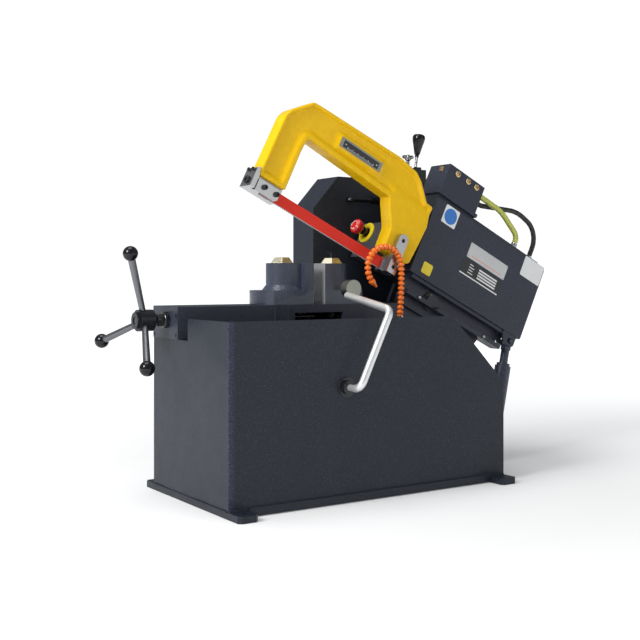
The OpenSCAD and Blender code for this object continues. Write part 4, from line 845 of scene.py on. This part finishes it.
# ---- Stop rod ---------------------------------------------------------------
# A bright steel bar bent on the CAD node's route, with a thinner turned shank that
# slides in the collar and goes on inside the cabinet. Its pad is turned.
ROD = metal("bright_rod", (0.80, 0.81, 0.82), 0.40, (90, 90, 300), 0.10, 0.00012, 0.75)
PAD = metal("turned_pad", (0.30, 0.31, 0.27), 0.38, (200, 30, 200), 0.05, 0.00006)
dress("stop_rod", ROD)
dress("stop_pad", PAD, 0.0008)
stop_way = bent([(-92, -229, 271), (-92, -250, 271), (-4, -250, 452), (-12, -82, 483)], [20, 20], 14)
bar = swept(even(stop_way, 4.0), 9.2, 32)
shank = turned([(0, 0), (7, 0), (7.9, 1), (7.9, 210), (0, 210)], 40)
shank = placed(shank, (-92, -20, 271), TO_FRONT)
verts, faces = merged([bar, shank])
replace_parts(add("stop_bar", verts / 1000, faces, ROD, "length_stop", "bright_rod", 40), "stop_rod")

# ---- Blank plates and stickers ----------------------------------------------
# Self-adhesive film and riveted metal plates on the front cover, all generic: they
# carry empty fields and plain colours, and no words or signs.
def plate(corners, radii, y0, y1, steps=5):
    """An upright plate between two depths on the head, its outline rounded."""
    loop = rounded(corners, radii, steps)
    n = len(loop)
    verts = np.concatenate([np.insert(loop, 1, y0, 1), np.insert(loop, 1, y1, 1)])
    i = np.arange(n)
    j = (i + 1) % n
    return verts, [i.tolist(), (n + i[::-1]).tolist()] + np.stack([i, j, n + j, n + i], 1).tolist()


def box_plate(u0, u1, n0, n1, radius, y0, y1):
    """A rectangular plate with four equal corners."""
    return plate([(u0, n0), (u0, n1), (u1, n1), (u1, n0)], [radius] * 4, y0, y1)


def disc(u, n, r, y, rise):
    """A thin disc with a broken edge that faces the front."""
    rings = [(0, 0), (r, 0), (r, rise * 0.7), (r - rise * 0.3, rise), (0, rise)]
    return placed(turned(rings, 64), (u, y, n), TO_FRONT)


def rivet(u, n, y, r=2.2):
    """A low rounded rivet head that faces the front."""
    rings = [(0, 0), (r, 0), (r * 0.9, r * 0.35), (r * 0.55, r * 0.55), (0, r * 0.62)]
    return placed(turned(rings, 32), (u, y, n), TO_FRONT)


def label(name, parts, mat, slot, body="head"):
    """One piece on the head or bow from several plates."""
    verts, faces = merged(parts)
    return add(name, on_head(verts), faces, mat, body, slot)


WHITE = plastic("white_film", (0.72, 0.73, 0.74), 0.35, 0.2, 700.0, 0.00002)
BLUE = plastic("blue_print", (0.025, 0.17, 0.52), 0.35, 0.2, 700.0, 0.00002)
BLACK_FILM = plastic("black_film", (0.016, 0.017, 0.019), 0.35, 0.1, 700.0, 0.00002)
PLATE = metal("brushed_plate", (0.60, 0.61, 0.62), 0.34, (30, 300, 300), 0.05, 0.00004, 0.85)
# Depths on the front cover: its face, then the fronts of film, lifted and metal plates.
COVER = 10.0
FILM, LIFTED, METAL = COVER - 0.35, COVER - 0.5, COVER - 0.8
label("round_sticker", [box_plate(-84, -31, 208, 261, 4, FILM, COVER)], WHITE, "scale_black")
label("round_sticker_disc", [disc(-57.5, 234.5, 22.5, FILM, 0.15)], BLUE, "scale_black")
label("name_plate", [box_plate(42, 196, 163, 207, 2, METAL, COVER)], PLATE, "zinc")
label("name_plate_rivets", [rivet(u, n, METAL) for u in (46, 192) for n in (167, 203)], ZINC, "zinc")
raised = (METAL - 0.15, METAL + 0.05)
label("name_plate_line", [box_plate(58, 182, 171, 172.6, 0.5, *raised)], ORANGE, "orange")
label("data_plate", [box_plate(36, 192, 112, 157, 2, LIFTED, COVER)], BLACK_FILM, "scale_black")
raised = (LIFTED - 0.15, LIFTED + 0.05)
fields = [box_plate(102, 176, n, n + 4.6, 0.6, *raised) for n in (146.5, 138.5, 130.5, 122.5)]
fields += [box_plate(36.5, 191.5, 112.5, 116, 0.4, *raised)]
fields += [
    box_plate(64, 64 + width, n, n + 2.4, 0.5, *raised)
    for width, n in ((14, 147.6), (20, 139.6), (17, 131.6), (20, 123.6))
]
label("data_plate_fields", fields, WHITE, "scale_black")
label("square_sticker", [box_plate(246, 329, 208, 268, 4, FILM, COVER)], WHITE, "scale_black")
label("small_sticker", [box_plate(-86, -52, 52, 84, 5, FILM, COVER)], SIGNAL_YELLOW, "signal_yellow")

# ---- Scale on the bow -------------------------------------------------------
# A grey frame with a black strip, white graduation along its lower edge without
# figures, and two rivets.
scale = label("scale_frame", [box_plate(-475, -333, 218, 245, 2, -3.4, -2)], PAD, "scale_black", "bow")
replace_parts(scale, "scale_plate")
strip = box_plate(-465, -343, 221.5, 240, 1, -3.7, -3.35)
label("scale_strip", [strip], BLACK_FILM, "scale_black", "bow")
marks = [
    box_plate(-450 + 3.6 * k, -449.1 + 3.6 * k, 222.5, 228.8 if k % 5 == 0 else 226.2, 0.1, -3.85, -3.65)
    for k in range(26)
]
label("scale_marks", marks, WHITE, "scale_black", "bow")
label("scale_rivets", [rivet(u, 231, -3.7, 2.6) for u in (-458, -350)], ZINC, "zinc", "bow")

# ---- Hexagon key, lever knob and feed knob ----------------------------------
# A small key left standing in the fixed jaw's bolt. The hand lever is a chromed rod
# with a pear-shaped knob of black plastic, and the feed screw has a chromed cross
# handle.
CHROME = metal("chrome", (0.34, 0.345, 0.35), 0.24, (30, 30, 30), 0.03, 0.00001)
dress("control_lever feed_knob", CHROME)
key_way = bent([(71, 112, 573), (71, 112, 592), (57, 112, 594)], [4], 6)
verts, faces = swept(key_way, 2.0, 6)
add("hexagon_key", verts / 1000, faces, DARK_STEEL_AND_SHADE, "base", "blackened", 25)
LEVER = np.array([465, 250, 835])
lean = np.array([math.sin(math.radians(8)), 0, math.cos(math.radians(8))])
verts, faces = turned([
    (0, -38), (5.8, -38), (6, -30.4), (8.2, -28.4), (9.6, -22), (11.6, -12), (14.6, 0), (17.2, 10),
    (18.6, 18), (18.8, 23), (17.8, 27.4), (14.4, 31), (8, 32.6), (0, 33),
], 64)
verts = aim(verts, LEVER + 89 * lean, lean)
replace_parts(add("lever_grip", verts / 1000, faces, GLOSS, "hand_lever", "black_gloss", 60), "lever_knob")
stem = turned([
    (0, -11), (4.6, -11), (5, -10), (5, 26), (6.2, 27), (9, 29), (9, 37), (7, 39), (5, 44), (0, 46)
])
cross_bar = turned([
    (0, 0), (4, 0.3), (5.3, 2), (5.5, 6), (4.6, 14), (4.6, 24), (5.5, 32), (5.3, 36), (4, 37.7), (0, 38)
])
verts, faces = merged([
    placed(stem, (439, 250, 847), (0, 0, 1)), placed(cross_bar, (420, 250, 885), (1, 0, 0))
])
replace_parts(add("feed_handle", verts / 1000, faces, CHROME, "feed_valve", "chrome", 40), "feed_knob")

# ---- Weld beads along the foot ----------------------------------------------
# Runs of overlapping drops of weld metal where the rails and feet meet the walls,
# painted over together with the cabinet.
def bead(start, end, size, name, step=0.0042):
    """A welded seam as one tube. Its radius is size times 0.72 plus 0.28 |sin| of the drop's
    phase, times a slow sum of sines, so that no two neighbours are alike."""
    start, end = np.array(start, float), np.array(end, float)
    count = int(np.linalg.norm(end - start) / step)
    k = np.arange(count * 4 + 1)
    t = k / (count * 4)
    drop = np.abs(np.sin(math.pi * k / 4 + 0.3 * np.sin(k * 0.13)))
    slow = 1 + 0.30 * np.sin(k * 0.021) + 0.22 * np.sin(k * 0.057 + 1.0)
    path = start + t[:, None] * (end - start)
    tube = swept(path, size * slow * (0.72 + 0.28 * drop), 10)
    return add(name, *tube, STRUCTURE, "base", "anthracite", 180)


for side in (-1, 1):
    y = 0.1952 * side
    bead((-0.353, y, 0.0205), (0.353, y, 0.0205), 0.0026, "rail_weld_" + "fb"[side > 0])
for k, (x, y) in enumerate([(-0.404, -0.194), (-0.404, 0.194), (0.404, -0.194), (0.404, 0.194)]):
    inner = x - math.copysign(0.046, x)
    y += math.copysign(0.0012, y)
    bead((x, y, 0.0168), (inner, y, 0.0168), 0.0030, "foot_weld_%d" % k)
for side in (-1, 1):
    x = 0.4055 * side
    bead((x, -0.190, 0.0166), (x, 0.190, 0.0166), 0.0022, "end_weld_" + "lr"[side > 0])

# ---- Vise screw -------------------------------------------------------------
# Steel, dark as painted shade where it lies inside the bed, with a rolled trapezoidal
# thread of 6 mm pitch and a turned journal with two collars. The thread's radius at
# angle a and length x follows the phase x over the pitch plus a over 2 pi: flat on top,
# sloped, flat at the root.
LEAD = 6
sides = 36
x0, x1 = -386.5, 11.3
k = np.arange(int((x1 - x0) / 0.75) + 1)
xs = x0 + (x1 - x0) * k / k[-1]
a = np.linspace(0, 2 * math.pi, sides, endpoint=False)
phase = (xs[:, None] / LEAD + a[None] / (2 * math.pi)) % 1
depth = np.clip((np.abs(phase - 0.5) - 0.13) / 0.12, 0, 1)
radius = 11.9 - 2.2 * depth
radius[[0, -1]] = 9.6
length = np.broadcast_to(xs[:, None], radius.shape)
thread = np.stack([length, SCREW_Y + radius * np.cos(a), SCREW_Z + radius * np.sin(a)], 2)
i = np.arange(sides)
faces = [i.tolist(), ((len(xs) - 1) * sides + i[::-1]).tolist()] + quads(len(xs), sides)
journal = placed(turned([
    (0, 0), (8, 0), (9, 1), (9, 51.7), (14, 51.7), (15, 52.7), (15, 69.7), (19, 69.7), (20, 70.7),
    (20, 80.7), (19, 81.7), (10, 81.7), (10, 103.4), (0, 103.4),
]), (-490, SCREW_Y, SCREW_Z), (1, 0, 0))
verts, faces = merged([(thread.reshape(-1, 3), faces), journal])
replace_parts(add("screw_spindle", verts / 1000, faces, DARK_STEEL_AND_SHADE, "hand_wheel", "steel", 28), "vise_screw")

# ---- Small hardware ---------------------------------------------------------
# Printed release arrows on the mushroom, zinc lid screws of the control box, zinc
# bolts of the arm, barrel hinges and lock of the rear cabinet's door, and blackened
# screws of the vise bed's end plate.
arrows = []
for k in range(3):
    a = np.radians(120 * k + np.linspace(0, 78, 14))
    path = np.stack([12.6 * np.cos(a), 12.6 * np.sin(a), np.full(14, 48.95)], 1)
    arrows.append(swept(path, 0.9, 8))
    tip = np.radians(120 * k + 78)
    way = (-math.sin(tip), math.cos(tip), -0.05)
    arrows.append(placed(turned([(0, 0), (2.7, 0), (0.3, 5.5), (0, 5.5)], 12), path[-1], way))
verts, faces = merged(arrows)
add("stop_arrows", on_head(aim(verts, stop, TO_LEFT)), faces, WHITE, "emergency_stop", "signal_red")

lid_screw = turned([
    (0, 0), (3.6, 0), (3.6, 0.7), (2.88, 1.5), (1.512, 1.8),
    (1.296, 1.7, "h"), (1.296, 0.6, "h"), (0, 0.6),
], 36)
verts, faces = merged([placed(lid_screw, (-194, y, n), TO_LEFT) for y in (96, 189) for n in (53, 142)])
add("lid_screws", on_head(verts), faces, ZINC, "head", "zinc")
bolts = [placed(cap_screw(10, 6, 5.2), (-19, 38, 6), TO_FRONT)]
bolts += [placed(cap_screw(8, 5, 4.2), (u, 10, -14), TO_FRONT) for u in (198, -60)]
verts, faces = merged(bolts)
add("arm_bolts", on_head(verts), faces, ZINC, "head", "zinc")
hinge = turned([(0, 0), (4, 0), (5, 1), (5, 43), (4, 44), (0, 44)], 32)
lock = turned([(0, 0), (11, 0), (11, 2), (9.5, 4), (4.2, 4), (3.8, 3.6, "h"), (3.8, 2.4, "h"), (0, 2.2)])
door = [placed(hinge, (96, 312, z), (0, 0, 1)) for z in (380, 600)]
verts, faces = merged(door + [placed(lock, (470, 310, 560), (0, 1, 0))])
add("door_hardware", verts / 1000, faces, ZINC, "base", "zinc")
end_screw = cap_screw(9, 4.8, 5.2)
verts, faces = merged([placed(end_screw, (-403, y, z), TO_LEFT) for y in (61, 182) for z in (390, 436)])
add("end_plate_screws", verts / 1000, faces, BLACKENED, "base", "blackened")
